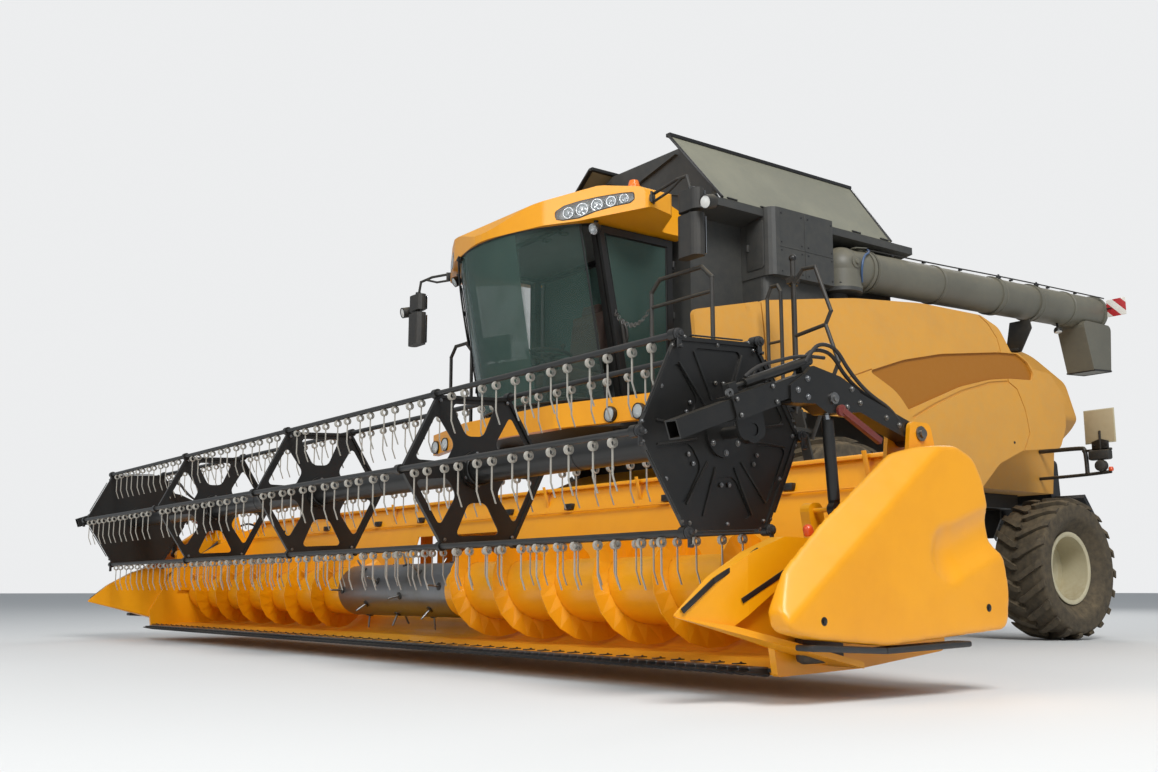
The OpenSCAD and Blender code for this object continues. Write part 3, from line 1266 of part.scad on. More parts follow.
// Places of the coil pairs along one bay of a tine bar
function bay_pairs(y0) = [for (i = [0 : pairs - 1]) y0 + (i - (pairs - 1) / 2) * tine_pitch];
bay_mid = [for (i = [-1.5 : 1 : 1.5]) i * reel_len / 4];
coil_y = [for (m = bay_mid) each bay_pairs(m)];

// Slices of width w at every tine of a bar
module tine_slices(w) {
    for (y = coil_y) for (s = [-1, 1])
        box([-60, y + s * tine_gap / 2 - w / 2, -tine_len - 5], [60, y + s * tine_gap / 2 + w / 2, 0]);
}

// Tine bar: tube with spring coils under it and a bent wire from each coil
module tine_bar(i) {
    c = polar(reel_c, reel_r, bar_angle(i));
    coil_z = 4 - (bar_d + coil_d) / 2;
    low = coil_z - coil_d / 2 + 5;
    knee = 190;
    color("#3e4144") translate([c[0], 0, c[1]]) union() {
        bar_y([0, 0], -reel_y - 12, reel_y + 12, bar_d);
        intersection() {
            side_view(-reel_y, reel_y) difference() {
                translate([0, coil_z]) circle(d = coil_d);
                translate([0, coil_z]) circle(d = coil_d - 20);
            }
            tine_slices(22);
        }
        intersection() {
            side_view(-reel_y, reel_y)
                polygon([[-tine_t / 2, low], [-tine_t / 2, -knee], [-tine_t / 2 - 28, -tine_len],
                         [tine_t / 2 - 28, -tine_len], [tine_t / 2, -knee], [tine_t / 2, low]]);
            tine_slices(tine_t);
        }
    }
}

place() chassis_frame();
place() rear_axle();
place() separator_body();
place() engine();
place() engine_hood();
place() rear_hood();
place() chopper();
place() lamp_arms();
place() grain_tank();
place() tank_cover_left();
place() tank_cover_right();
place() tank_cover_ends();
place() side_box();
place() unloading_auger();
place() cab_base();
place() cab_frame();
place() cab_roof();
place() cab_glass();
place() cab_door();
place() door_glass();
place() seat();
place() platform();
place() ladder();
place() bumper();
place() lamps();
place() beacons();
place() mirrors();
place() side_panel_left();
place() side_panel_right();
place() side_fairings();
place() front_tyre(1);  // front_tyre_left
place() front_tyre(-1);  // front_tyre_right
place() front_rim(1);  // front_rim_left
place() front_rim(-1);  // front_rim_right
place() knuckle(1);  // knuckle_left
place() knuckle(-1);  // knuckle_right
place() rear_tyre(1);  // rear_tyre_left
place() rear_tyre(-1);  // rear_tyre_right
place() rear_rim(1);  // rear_rim_left
place() rear_rim(-1);  // rear_rim_right
place() feeder_house();
place() feeder_barrels();
place() feeder_rods();
place() header_frame();
place() dividers();
place() shields();
place() guards();
place() knife();
place() header_auger();
place() reel_arms();
place() reel_barrels();
place() reel_rods();
place() reel_carriage();
place() reel();
for (i = [1 : reel_sides]) place() tine_bar(i);
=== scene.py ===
"""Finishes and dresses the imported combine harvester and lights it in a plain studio.

The CAD nodes are the frame. Each gets a procedural finish, and the classes below add the pieces that are too
small or too soft for the CAD model. The frame is +X forward, +Y left, +Z up, with Z = 0 on the ground. Finishes
and the studio are measured in metres, pieces in mm.
"""

import logging
import math
from dataclasses import dataclass, field, replace
from enum import Enum
from typing import Any

import bpy
from mathutils import Matrix, Vector


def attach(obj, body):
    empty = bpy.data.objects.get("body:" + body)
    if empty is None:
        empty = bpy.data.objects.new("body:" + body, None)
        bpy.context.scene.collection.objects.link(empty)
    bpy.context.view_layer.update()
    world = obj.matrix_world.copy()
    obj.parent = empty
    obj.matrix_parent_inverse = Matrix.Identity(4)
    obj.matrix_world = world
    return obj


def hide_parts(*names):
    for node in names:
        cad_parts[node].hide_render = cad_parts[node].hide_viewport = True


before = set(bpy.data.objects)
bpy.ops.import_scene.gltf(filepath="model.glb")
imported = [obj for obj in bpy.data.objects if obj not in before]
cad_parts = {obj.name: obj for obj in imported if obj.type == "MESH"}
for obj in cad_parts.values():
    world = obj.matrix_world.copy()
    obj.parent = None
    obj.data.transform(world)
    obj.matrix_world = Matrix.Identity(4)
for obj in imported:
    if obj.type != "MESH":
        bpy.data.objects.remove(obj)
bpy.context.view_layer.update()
LOG = logging.getLogger("harvester")

Piece = bpy.types.Object
Socket = bpy.types.NodeSocket
Place = tuple[float, float, float]
Outline = list[tuple[float, float]]
AHEAD, LEFT, UP = (1, 0, 0), (0, 1, 0), (0, 0, 1)


# ---------------------------------------------------------------- finishes


def linear(code: str, alpha: float = 1.0) -> tuple[float, float, float, float]:
    """Turns an sRGB hex colour into linear RGBA.

    Args:
        code: Colour as "#rrggbb".
        alpha: Alpha channel.

    Returns:
        Linear red, green, blue and alpha.
    """
    parts = [int(code[i : i + 2], 16) / 255 for i in (1, 3, 5)]
    red, green, blue = (c / 12.92 if c <= 0.04045 else ((c + 0.055) / 1.055) ** 2.4 for c in parts)
    return red, green, blue, alpha


class Graph:
    """A node tree and the few kinds of node that the finishes are made of."""

    def __init__(self, tree: bpy.types.NodeTree) -> None:
        """Empties the tree.

        Args:
            tree: Tree of a material or a world.
        """
        self.tree = tree
        tree.nodes.clear()

    def add(self, kind: str, inputs: dict[Any, Any] | None = None, **settings: Any) -> bpy.types.Node:
        """Adds one node.

        Args:
            kind: Blender's node type, without "ShaderNode".
            inputs: Socket name or index to a value, or to the output socket that feeds it.
            settings: The node's own properties.

        Returns:
            The new node.
        """
        node = self.tree.nodes.new("ShaderNode" + kind)
        for name, value in settings.items():
            setattr(node, name, value)
        for key, value in (inputs or {}).items():
            if isinstance(value, Socket):
                self.tree.links.new(value, node.inputs[key])
            else:
                node.inputs[key].default_value = value
        return node

    def calc(self, operation: str, first: Any, second: Any = 0.5, clamp: bool = False) -> Socket:
        """Adds a sum, product or test of one or two numbers.

        Args:
            operation: Blender's name of the operation.
            first: First number or socket.
            second: Second one, if it takes two.
            clamp: True to keep the result in 0 to 1.

        Returns:
            The result.
        """
        return self.add("Math", {0: first, 1: second}, operation=operation, use_clamp=clamp).outputs[0]

    def ramp(self, value: Socket, low: float, high: float, start: float = 0.0, end: float = 1.0) -> Socket:
        """Maps one range of numbers to another and clamps.

        Args:
            value: The number.
            low: Where the ramp starts.
            high: Where it ends.
            start: Result at its start.
            end: Result at its end.

        Returns:
            The result.
        """
        return self.add("MapRange", {"Value": value, "From Min": low, "From Max": high, "To Min": start,
                                     "To Max": end}).outputs["Result"]

    def mix(self, share: Socket, first: Any, second: Any) -> Socket:
        """Mixes two colours.

        Args:
            share: Share of the second one.
            first: First colour or socket.
            second: Second colour.

        Returns:
            The mixed colour.
        """
        return self.add("Mix", {"Factor": share, "A": first, "B": second}, data_type="RGBA").outputs["Result"]

    def noise(self, place: Socket, scale: float, detail: float = 2.0, roughness: float = 0.5) -> Socket:
        """Adds a cloudy texture.

        Args:
            place: Coordinates.
            scale: Clouds a metre.
            detail: Number of finer layers.
            roughness: Weight of the finer layers.

        Returns:
            Its value.
        """
        return self.add("TexNoise", {"Vector": place, "Scale": scale, "Detail": detail,
                                     "Roughness": roughness}).outputs["Fac"]

    def split(self, vector: Socket) -> Any:
        """Splits a vector.

        Args:
            vector: The vector.

        Returns:
            Its parts by the names X, Y and Z.
        """
        return self.add("SeparateXYZ", {"Vector": vector}).outputs

    def normal(self) -> Any:
        """Gives the surface's normal.

        Returns:
            Its parts by the names X, Y and Z.
        """
        return self.split(self.add("NewGeometry").outputs["Normal"])

    def length(self, across: Socket, up: Socket) -> Socket:
        """Gives the distance from an axis.

        Args:
            across: Distance from it one way.
            up: Distance from it the other way.

        Returns:
            The distance.
        """
        spot = self.add("CombineXYZ", {"X": across, "Y": up}).outputs[0]
        return self.add("VectorMath", {0: spot}, operation="LENGTH").outputs["Value"]


def new_material(name: str) -> tuple[bpy.types.Material, Graph]:
    """Makes a material with an empty graph.

    Args:
        name: Its name.

    Returns:
        The material and its graph.
    """
    material = bpy.data.materials.new(name)
    material.use_nodes = True
    return material, Graph(material.node_tree)


class Grain(Enum):
    """How a surface was made, which sets the shape of its relief."""

    SPRAYED = "orange peel of sprayed enamel"
    MOULDED = "fine leather grain of moulded plastic"
    ROLLED = "long drawn lines of rolled or pulled steel"
    CAST = "coarse sand texture of a casting"


@dataclass(frozen=True)
class Coating:
    """A painted, moulded or metal surface with field dust on it.

    Attributes:
        name: Material name, for what the real one is.
        slot: The record's material slot it stands for; not used.
        colour: Main sRGB colour.
        faded: Second sRGB colour, where the sun and rubbing have changed it.
        dust: sRGB colour of the dust.
        dusting: Share of dust on faces that look up, 0 to 1.
        haze: Share of dust on every face, 0 to 1.
        roughness: Roughness of the clean surface.
        metallic: 1 for bare metal.
        coat: Weight of the clear coat.
        grain: How the surface was made.
        grain_mm: Size of the relief.
        relief: Strength of the relief.
    """

    name: str
    slot: str
    colour: str
    faded: str
    dust: str = "#c8ab7c"
    dusting: float = 0.25
    haze: float = 0.06
    roughness: float = 0.35
    metallic: float = 0.0
    coat: float = 0.0
    grain: Grain = Grain.SPRAYED
    grain_mm: float = 3.0
    relief: float = 0.08

    def build(self) -> bpy.types.Material:
        """Makes the node tree.

        Returns:
            The finished material.
        """
        material, graph = new_material(self.name)
        place = graph.add("TexCoord").outputs["Object"]
        # clouds about 0.7 m wide carry the fading, patches of 60 mm break them up
        cloud, patch = graph.noise(place, 1.4, 6.0, 0.62), graph.noise(place, 16.0, 5.0, 0.6)
        paint = graph.mix(graph.ramp(cloud, 0.42, 0.68), linear(self.colour), linear(self.faded))
        # dust lies on what looks up, thickest where the patches are
        upward = graph.ramp(graph.normal()["Z"], 0.15, 0.95, end=self.dusting)
        lying = graph.calc("ADD", upward, self.haze)
        dusty = graph.calc("MULTIPLY", lying, graph.ramp(patch, 0.3, 0.75, 0.45, 1.5), clamp=True)
        paint = self.marked(graph, place, graph.mix(dusty, paint, linear(self.dust)))
        bump = graph.add("Bump", {"Height": self.relief_height(graph, place), "Strength": self.relief,
                                  "Distance": self.grain_mm / 1000})
        shader = graph.add("BsdfPrincipled", {"Base Color": paint, "Metallic": self.metallic,
                                              "Roughness": graph.ramp(dusty, 0.0, 1.0, self.roughness, 0.85),
                                              "Normal": bump.outputs["Normal"], "Coat Weight": self.coat,
                                              "Coat Roughness": 0.12})
        graph.add("OutputMaterial", {"Surface": shader.outputs["BSDF"]})
        return material

    def marked(self, graph: Graph, place: Socket, paint: Socket) -> Socket:
        """Lets a kind of coating paint over parts of itself.

        Args:
            graph: Graph to add to.
            place: Object coordinates.
            paint: The colour so far.

        Returns:
            The colour.
        """
        return paint

    def relief_height(self, graph: Graph, place: Socket) -> Socket:
        """Adds the texture that carries the relief.

        Args:
            graph: Graph to add to.
            place: Object coordinates.

        Returns:
            The height.
        """
        scale = 1000 / self.grain_mm
        if self.grain is Grain.ROLLED:
            lines = graph.add("Mapping", {"Vector": place, "Scale": (scale, scale * 0.04, scale)})
            return graph.noise(lines.outputs["Vector"], 1.0)
        if self.grain is Grain.SPRAYED:
            return graph.noise(place, scale, 1.0)
        detail = 1.0 if self.grain is Grain.MOULDED else 4.0
        return graph.add("TexVoronoi", {"Vector": place, "Scale": scale, "Detail": detail}).outputs["Distance"]


@dataclass(frozen=True)
class BandPaintAndShadeCoating(Coating):
    """Panel enamel with the sunk band darker, found by its depth under the panel's crown: partly the band's own darker
    paint, partly painted shade of the recess.

    Attributes:
        band: sRGB colour of the band, its darker paint mixed with painted shade of the recess.
        crown: y and z of the crown's axis on the right side, in metres.
        floor_r: Radius of the band's floor.
        back_r: Radius that only the panel's outer sheet reaches.
        edge: Half the width of the colour's edge, measured by depth.
    """

    # darker paint of the band together with painted shade of its recess
    band: str = "#a5680f"
    crown: tuple[float, float] = (3.4, 2.3)
    floor_r: float = 4.982
    back_r: float = 4.97
    edge: float = 0.0015

    def marked(self, graph: Graph, place: Socket, paint: Socket) -> Socket:
        """Paints the floor of the band darker, as its own paint together with painted shade of the recess.

        Args:
            graph: Graph to add to.
            place: Object coordinates.
            paint: The colour so far.

        Returns:
            The colour.
        """
        at = graph.split(place)
        radius = graph.length(graph.calc("ADD", graph.calc("ABSOLUTE", at["Y"]), self.crown[0]),
                              graph.calc("SUBTRACT", at["Z"], self.crown[1]))
        sunk = graph.ramp(radius, self.floor_r + self.edge, self.floor_r - self.edge)
        sheet = graph.calc("MULTIPLY", sunk, graph.calc("GREATER_THAN", radius, self.back_r))
        outward = graph.calc("GREATER_THAN", graph.calc("ABSOLUTE", graph.normal()["Y"]), 0.7)
        # the band's floor takes its darker paint together with painted shade of the recess
        return graph.mix(graph.calc("MULTIPLY", sheet, outward), paint, linear(self.band))


@dataclass(frozen=True)
class TineCoating(Coating):
    """Paint of a tine bar's tube, with the coils and wires under it left as bright spring steel.

    Attributes:
        axis: x and z of the tube's axis in metres.
        tube_r: Radius of the tube in metres.
        wire: sRGB colour of the wires.
    """

    axis: tuple[float, float] = (0.0, 0.0)
    tube_r: float = 0.03
    wire: str = "#a8a49a"

    def marked(self, graph: Graph, place: Socket, paint: Socket) -> Socket:
        """Leaves everything outside the tube's radius in the colour of the wires.

        Args:
            graph: Graph to add to.
            place: Object coordinates.
            paint: The colour so far.

        Returns:
            The colour.
        """
        at = graph.split(place)
        radius = graph.length(graph.calc("SUBTRACT", at["X"], self.axis[0]),
                              graph.calc("SUBTRACT", at["Z"], self.axis[1]))
        return graph.mix(graph.calc("GREATER_THAN", radius, self.tube_r + 0.0008), paint, linear(self.wire))


@dataclass(frozen=True)
class StripedCoating(Coating):
    """A warning board with slanted stripes and nothing else on it.

    Attributes:
        stripe: sRGB colour of every second stripe.
        pitch: From one coloured stripe to the next, in metres summed over X, Y and Z.
    """

    stripe: str = "#b3262a"
    pitch: float = 0.196

    def marked(self, graph: Graph, place: Socket, paint: Socket) -> Socket:
        """Paints the stripes.

        Args:
            graph: Graph to add to.
            place: Object coordinates.
            paint: The colour so far.

        Returns:
            The colour.
        """
        at = graph.split(place)
        slant = graph.calc("ADD", graph.calc("ADD", at["X"], at["Y"]), at["Z"])
        share = graph.calc("ABSOLUTE", graph.calc("MODULO", slant, self.pitch))
        return graph.mix(graph.calc("GREATER_THAN", share, self.pitch / 2), paint, linear(self.stripe))


@dataclass(frozen=True)
class Glazing:
    """Safety glass or a clear cover: looked through from the front, mirror-like at a slant, with a film of dust.

    Attributes:
        name: Material name.
        slot: The record's material slot it stands for; not used.
        tint: sRGB colour of the body of the glass.
        film: Share of dust.
        least: Opacity looked at straight on.
        dust: sRGB colour of the dust.
    """

    name: str = "tinted safety glass"
    slot: str = "tinted_glass"
    tint: str = "#5a726a"
    film: float = 0.02
    least: float = 0.18
    dust: str = "#857b64"

    def build(self) -> bpy.types.Material:
        """Makes the node tree.

        Returns:
            The finished material.
        """
        material, graph = new_material(self.name)
        place = graph.add("TexCoord").outputs["Object"]
        film = graph.ramp(graph.noise(place, 5.0, 3.0), 0.45, 0.8, end=self.film * 2.5)
        slant = graph.add("LayerWeight", {"Blend": 0.35}).outputs["Fresnel"]
        alpha = graph.calc("ADD", graph.ramp(slant, 0.1, 1.0, self.least, 0.92), film, clamp=True)
        paint = graph.mix(film, linear(self.tint), linear(self.dust))
        shader = graph.add("BsdfPrincipled", {"Base Color": paint, "Roughness": 0.04, "Alpha": alpha})
        graph.add("OutputMaterial", {"Surface": shader.outputs["BSDF"]})
        return material


YELLOW = Coating("harvest yellow enamel, sprayed", "yellow_paint", "#efa100", "#e69800", dust="#d8a540", dusting=0.25,
                 haze=0.04, roughness=0.34, coat=0.15)
PANEL = BandPaintAndShadeCoating("yellow enamel under dust, sprayed", "dusty_yellow_paint", "#dd9a2c", "#d39434", dust="#c9a468",
                      dusting=0.4, haze=0.25, roughness=0.45, coat=0.05)
TANK = Coating("charcoal enamel, sprayed", "dark_grey_paint", "#333536", "#3c3d3c", dust="#857d6a", dusting=0.28,
               haze=0.08, roughness=0.45)
COVER = Coating("olive grey coated sheet, rolled", "khaki_sheet", "#77776a", "#858474", dust="#a39b82", dusting=0.2,
                haze=0.06, roughness=0.5)
BLACK = Coating("black enamel, sprayed", "black_paint", "#0e0f10", "#141516", dust="#7a6b50", dusting=0.14, haze=0.02,
                roughness=0.38, coat=0.1)
TUBE_BLACK = Coating("black powder coat", "black_tube", "#1d1e1f", "#262626", dust="#93825f", dusting=0.22, haze=0.05,
                     roughness=0.45)
CREAM = Coating("cream wheel enamel, sprayed", "cream_paint", "#c9c3a6", "#b9b091", dust="#a48f68", dusting=0.3,
                haze=0.18, roughness=0.5)
BOARD = Coating("cream enamel under road dust", "cream_paint", "#b8a887", "#ab9a78", dust="#9c8a66", dusting=0.2,
                haze=0.2, roughness=0.6)
GREY_TUBE = Coating("grey enamel on the unloading tube, sprayed", "grey_tube", "#5f5e55", "#6b6a5f", dust="#94896e",
                    dusting=0.35, haze=0.1, roughness=0.42)
STEEL = Coating("worn spring steel", "steel", "#8b8d90", "#77736b", dust="#9a8a68", dusting=0.1, haze=0.05,
                roughness=0.38, metallic=1.0, grain=Grain.ROLLED, grain_mm=4.0, relief=0.1)
DARK_STEEL = Coating("dark pressed steel", "dark_steel", "#35383c", "#3f4144", dust="#8a7a5e", dusting=0.15, haze=0.05,
                     roughness=0.45, metallic=0.6, grain=Grain.ROLLED, grain_mm=5.0, relief=0.08)
CHROME = Coating("hard chrome", "chrome_rod", "#d8dadc", "#cfd1d3", dusting=0.03, haze=0.0, roughness=0.08,
                 metallic=1.0, grain=Grain.ROLLED, grain_mm=2.0, relief=0.02)
MIRROR = replace(CHROME, name="silvered reflector", colour="#e4e6e8", faded="#dcdee0", dusting=0.02, roughness=0.05,
                 relief=0.0)
IRON = Coating("painted cast iron", "iron", "#2b2c2c", "#343331", dust="#8a7a5e", dusting=0.3, haze=0.1, roughness=0.6,
               grain=Grain.CAST, grain_mm=4.0, relief=0.25)
PLASTIC = Coating("black moulded plastic", "black_plastic", "#202122", "#2a2a29", dust="#8f8268", dusting=0.25,
                  haze=0.05, roughness=0.55, grain=Grain.MOULDED, grain_mm=2.5, relief=0.1)
LINING = Coating("grey moulded cab lining", "black_plastic", "#6a6d6c", "#727471", dust="#8f8268", dusting=0.1,
                 haze=0.03, roughness=0.7, grain=Grain.MOULDED, grain_mm=2.5, relief=0.1)
LAMP_GREY = Coating("grey lamp housing plastic", "lamp_plastic", "#a9abaa", "#9fa19f", dusting=0.05, haze=0.03,
                    roughness=0.35, grain=Grain.MOULDED, grain_mm=3.0, relief=0.05)
RUBBER = Coating("tyre rubber", "tyre_rubber", "#26231e", "#332e26", dust="#6d5f48", dusting=0.5, haze=0.45,
                 roughness=0.8, grain=Grain.CAST, grain_mm=6.0, relief=0.2)
RUBBER_HOSE = Coating("black hydraulic hose", "tyre_rubber", "#18181a", "#222222", dust="#6d5f48", dusting=0.12,
                      haze=0.04, roughness=0.5, grain=Grain.CAST, grain_mm=2.0, relief=0.05)
HOSE_BLUE = Coating("blue hydraulic hose", "black_plastic", "#27507d", "#2f567f", dusting=0.12, haze=0.05,
                    roughness=0.45)
PROP_RED = Coating("dark red enamel, sprayed", "black_paint", "#6a161c", "#5c161b", dusting=0.15, haze=0.05,
                   roughness=0.4)
LENS = Coating("clear polycarbonate lens", "lamp_plastic", "#dfe0dc", "#d2d3cf", dusting=0.05, haze=0.02,
               roughness=0.12, coat=0.6, grain=Grain.MOULDED, grain_mm=8.0, relief=0.2)
AMBER = Coating("amber polycarbonate", "amber_plastic", "#f07a12", "#e56f0c", dusting=0.05, haze=0.02, roughness=0.15,
                coat=0.5, grain=Grain.MOULDED, grain_mm=8.0, relief=0.2)
ORANGE = Coating("orange polycarbonate lens", "amber_plastic", "#e5521a", "#d84a14", dusting=0.05, haze=0.02,
                 roughness=0.2, coat=0.4, grain=Grain.MOULDED, grain_mm=6.0, relief=0.2)
RED = replace(ORANGE, name="red polycarbonate lens", colour="#b51d1a", faded="#a51b18")
STRIPES = StripedCoating("striped warning board", "cream_paint", "#e6e3dc", "#dcd8ce", dusting=0.1, haze=0.08,
                         roughness=0.45)
CLOTH = Coating("woven seat cloth", "seat_cloth", "#4a3a36", "#54433e", dusting=0.1, haze=0.03, roughness=0.9,
                grain=Grain.CAST, grain_mm=3.0, relief=0.3)
DARK_GLASS = Coating("dark display glass", "black_plastic", "#101418", "#12171b", dusting=0.05, haze=0.02,
                     roughness=0.08, coat=0.5, relief=0.0)
GLASS = Glazing()
CLEAR = Glazing("clear polycarbonate cover", "lamp_plastic", "#dfe4e4", 0.03, 0.12)

NODE_FINISH = {
    YELLOW: ["cab_roof", "bumper", "feeder_house", "header_frame", "dividers", "shields", "header_auger"],
    PANEL: ["side_panel_left", "side_panel_right", "side_fairings", "rear_hood"],
    TANK: ["separator_body", "engine_hood", "grain_tank", "tank_cover_ends", "side_box"],
    COVER: ["tank_cover_left", "tank_cover_right"],
    BLACK: ["reel", "cab_frame", "cab_door", "chopper", "reel_arms", "reel_carriage", "reel_barrels",
            "feeder_barrels"],
    TUBE_BLACK: ["chassis_frame", "platform", "ladder"],
    CREAM: ["front_rim_left", "front_rim_right", "rear_rim_left", "rear_rim_right", "lamp_arms"],
    GREY_TUBE: ["unloading_auger"],
    STEEL: ["knife"],
    DARK_STEEL: ["guards"],
    CHROME: ["feeder_rods", "reel_rods"],
    IRON: ["rear_axle", "knuckle_left", "knuckle_right", "engine"],
    PLASTIC: ["mirrors", "cab_base"],
    RUBBER: ["front_tyre_left", "front_tyre_right", "rear_tyre_left", "rear_tyre_right"],
    LENS: ["lamps"],
    AMBER: ["beacons"],
    CLOTH: ["seat"],
    GLASS: ["cab_glass", "door_glass"],
}


class Paintshop:
    """Makes each finish once and puts it on the CAD nodes and on new pieces."""

    def __init__(self) -> None:
        """Starts with no finish made."""
        self.made: dict[str, bpy.types.Material] = {}

    def coat(self, obj: Piece, finish: Coating | Glazing) -> None:
        """Gives an object one finish all over.

        Args:
            obj: Mesh object.
            finish: The finish, made on first use.
        """
        if finish.name not in self.made:
            self.made[finish.name] = finish.build()
        obj.data.materials.clear()
        obj.data.materials.append(self.made[finish.name])

    def coat_nodes(self) -> None:
        """Gives every CAD node its finish."""
        for finish, names in (NODE_FINISH | ReelTrim().bar_finishes()).items():
            for name in names:
                self.coat(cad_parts[name], finish)
                LOG.info("node %s: %s", name, finish.name)


# ---------------------------------------------------------------- bench work


class Plane(Enum):
    """The plane an outline is drawn in. The plate is thick the third way."""

    SIDE = (0, 2, 1)
    FRONT = (1, 2, 0)
    PLAN = (0, 1, 2)

    def point(self, across: float, up: float, deep: float) -> Vector:
        """Places one point of an outline.

        Args:
            across: First coordinate of the outline.
            up: Second coordinate of the outline.
            deep: Coordinate along the plate's thickness.

        Returns:
            The point in mm.
        """
        place = Vector((0.0, 0.0, 0.0))
        for axis, value in zip(self.value, (across, up, deep)):
            place[axis] = value
        return place


class Assembly:
    """A sub-assembly, with the bench work that all of them share.

    Sizes and places are mm from the middle of the front axle on the ground.
    """

    origin = Vector((200.0, 0.0, 0.0))
    shop = Paintshop()

    def metres(self, place: Any) -> Vector:
        """Turns a place in mm into the scene's frame in metres.

        Args:
            place: Three coordinates.

        Returns:
            The place in the scene's frame.
        """
        return (Vector(place) + self.origin) / 1000

    def alone(self, obj: Piece) -> Piece:
        """Selects one object and nothing else.

        Args:
            obj: The object.

        Returns:
            The same object.
        """
        bpy.ops.object.select_all(action="DESELECT")
        obj.select_set(True)
        bpy.context.view_layer.objects.active = obj
        return obj

    def put(self, obj: Piece, place: Any, axis: Any = UP) -> Piece:
        """Moves an object modelled at the origin to its place, with its Z along an axis.

        Args:
            obj: The object.
            place: Where its origin goes.
            axis: Where its Z axis points.

        Returns:
            The object with its transform applied.
        """
        self.alone(obj)
        turn = Vector(axis).to_track_quat("Z", "Y").to_matrix().to_4x4()
        obj.matrix_world = Matrix.Translation(self.metres(place)) @ turn
        bpy.ops.object.transform_apply()
        return obj

    def eased(self, obj: Piece, edge: float, segments: int = 2) -> Piece:
        """Bevels an object's sharp edges.

        Args:
            obj: The object.
            edge: Width of the bevel.
            segments: Faces across it.

        Returns:
            The same object.
        """
        if edge > 0:
            self.alone(obj)
            bpy.ops.object.mode_set(mode="EDIT")
            bpy.ops.mesh.select_all(action="DESELECT")
            bpy.ops.mesh.select_mode(type="EDGE")
            bpy.ops.mesh.edges_select_sharp(sharpness=math.radians(50))
            bpy.ops.mesh.bevel(offset=edge / 1000, segments=segments)
            bpy.ops.object.mode_set(mode="OBJECT")
        return obj

    def block(self, size: Place, place: Place, turn: Place = (0, 0, 0), edge: float = 4.0) -> Piece:
        """Models a box with eased edges.

        Args:
            size: Its three sizes.
            place: Its middle.
            turn: Degrees about X, Y and Z.
            edge: Width of the bevel.

        Returns:
            The box.
        """
        bpy.ops.mesh.primitive_cube_add(size=1.0, scale=Vector(size) / 1000)
        obj = bpy.context.object
        bpy.ops.object.transform_apply()
        self.eased(obj, edge)
        obj.rotation_euler = [math.radians(a) for a in turn]
        obj.location = self.metres(place)
        bpy.ops.object.transform_apply()
        return obj

    def beam(self, start: Place, end: Place, width: float, depth: float, edge: float = 3.0) -> Piece:
        """Models a flat bar between two points.

        Args:
            start: Middle of one end.
            end: Middle of the other end.
            width: Size across.
            depth: Size the other way across.
            edge: Width of the bevel.

        Returns:
            The bar.
        """
        run = Vector(end) - Vector(start)
        bpy.ops.mesh.primitive_cube_add(size=1.0, scale=(width / 1000, depth / 1000, run.length / 1000))
        obj = bpy.context.object
        bpy.ops.object.transform_apply()
        self.eased(obj, edge)
        return self.put(obj, (Vector(start) + Vector(end)) / 2, run)

    def drum(self, radius: float, length: float, place: Any, axis: Any = UP, edge: float = 2.0,
             sides: int = 24) -> Piece:
        """Models a disc or bar with eased rims.

        Args:
            radius: Its radius.
            length: Its length along the axis.
            place: Its middle.
            axis: Its axis.
            edge: Width of the bevel.
            sides: Faces round it, 6 for a bolt head.

        Returns:
            The drum.
        """
        bpy.ops.mesh.primitive_cylinder_add(vertices=sides, radius=radius / 1000, depth=length / 1000)
        return self.put(self.eased(bpy.context.object, edge), place, axis)

    def turned(self, rows: Outline, place: Any, axis: Any = UP, sides: int = 32) -> Piece:
        """Models a turned piece by drawing a ring up its profile.

        Args:
            rows: Radius and height of each ring. Where the last is the first again, the piece is hollow.
            place: Where height 0 goes.
            axis: Where the heights point.
            sides: Faces round it.

        Returns:
            The piece.
        """
        hollow = rows[0] == rows[-1]
        fill = "NOTHING" if hollow else "NGON"
        bpy.ops.mesh.primitive_circle_add(vertices=sides, radius=rows[0][0] / 1000, fill_type=fill,
                                          location=(0, 0, rows[0][1] / 1000))
        obj = bpy.context.object
        bpy.ops.object.transform_apply()
        bpy.ops.object.mode_set(mode="EDIT")
        bpy.ops.mesh.select_all(action="SELECT")
        for (r0, z0), (r1, z1) in zip(rows, rows[1:]):
            bpy.ops.mesh.extrude_region_move(TRANSFORM_OT_translate={"value": (0, 0, (z1 - z0) / 1000)})
            bpy.ops.transform.resize(value=(r1 / r0, r1 / r0, 1), center_override=(0, 0, z1 / 1000))
        bpy.ops.mesh.select_all(action="SELECT")
        if hollow:
            bpy.ops.mesh.remove_doubles(threshold=0.00005)
        bpy.ops.mesh.normals_make_consistent(inside=False)
        bpy.ops.object.mode_set(mode="OBJECT")
        return self.put(obj, place, axis)

    def plate(self, outline: Outline, plane: Plane, low: float, high: float, edge: float = 0.0) -> Piece:
        """Models a plate from an outline.

        Args:
            outline: The outline's points.
            plane: The plane they lie in.
            low: Where the plate's thickness starts.
            high: Where it ends.
            edge: Width of the bevel.

        Returns:
            The plate.
        """
        bpy.ops.mesh.primitive_circle_add(vertices=len(outline), radius=1.0, fill_type="NGON")
        obj = bpy.context.object
        for vertex, (across, up) in zip(obj.data.vertices, outline):
            vertex.co = self.metres(plane.point(across, up, low))
        bpy.ops.object.mode_set(mode="EDIT")
        bpy.ops.mesh.select_all(action="SELECT")
        shift = plane.point(0, 0, (high - low) / 1000)
        bpy.ops.mesh.extrude_region_move(TRANSFORM_OT_translate={"value": shift})
        bpy.ops.mesh.select_all(action="SELECT")
        bpy.ops.mesh.normals_make_consistent(inside=False)
        bpy.ops.object.mode_set(mode="OBJECT")
        return self.eased(obj, edge)

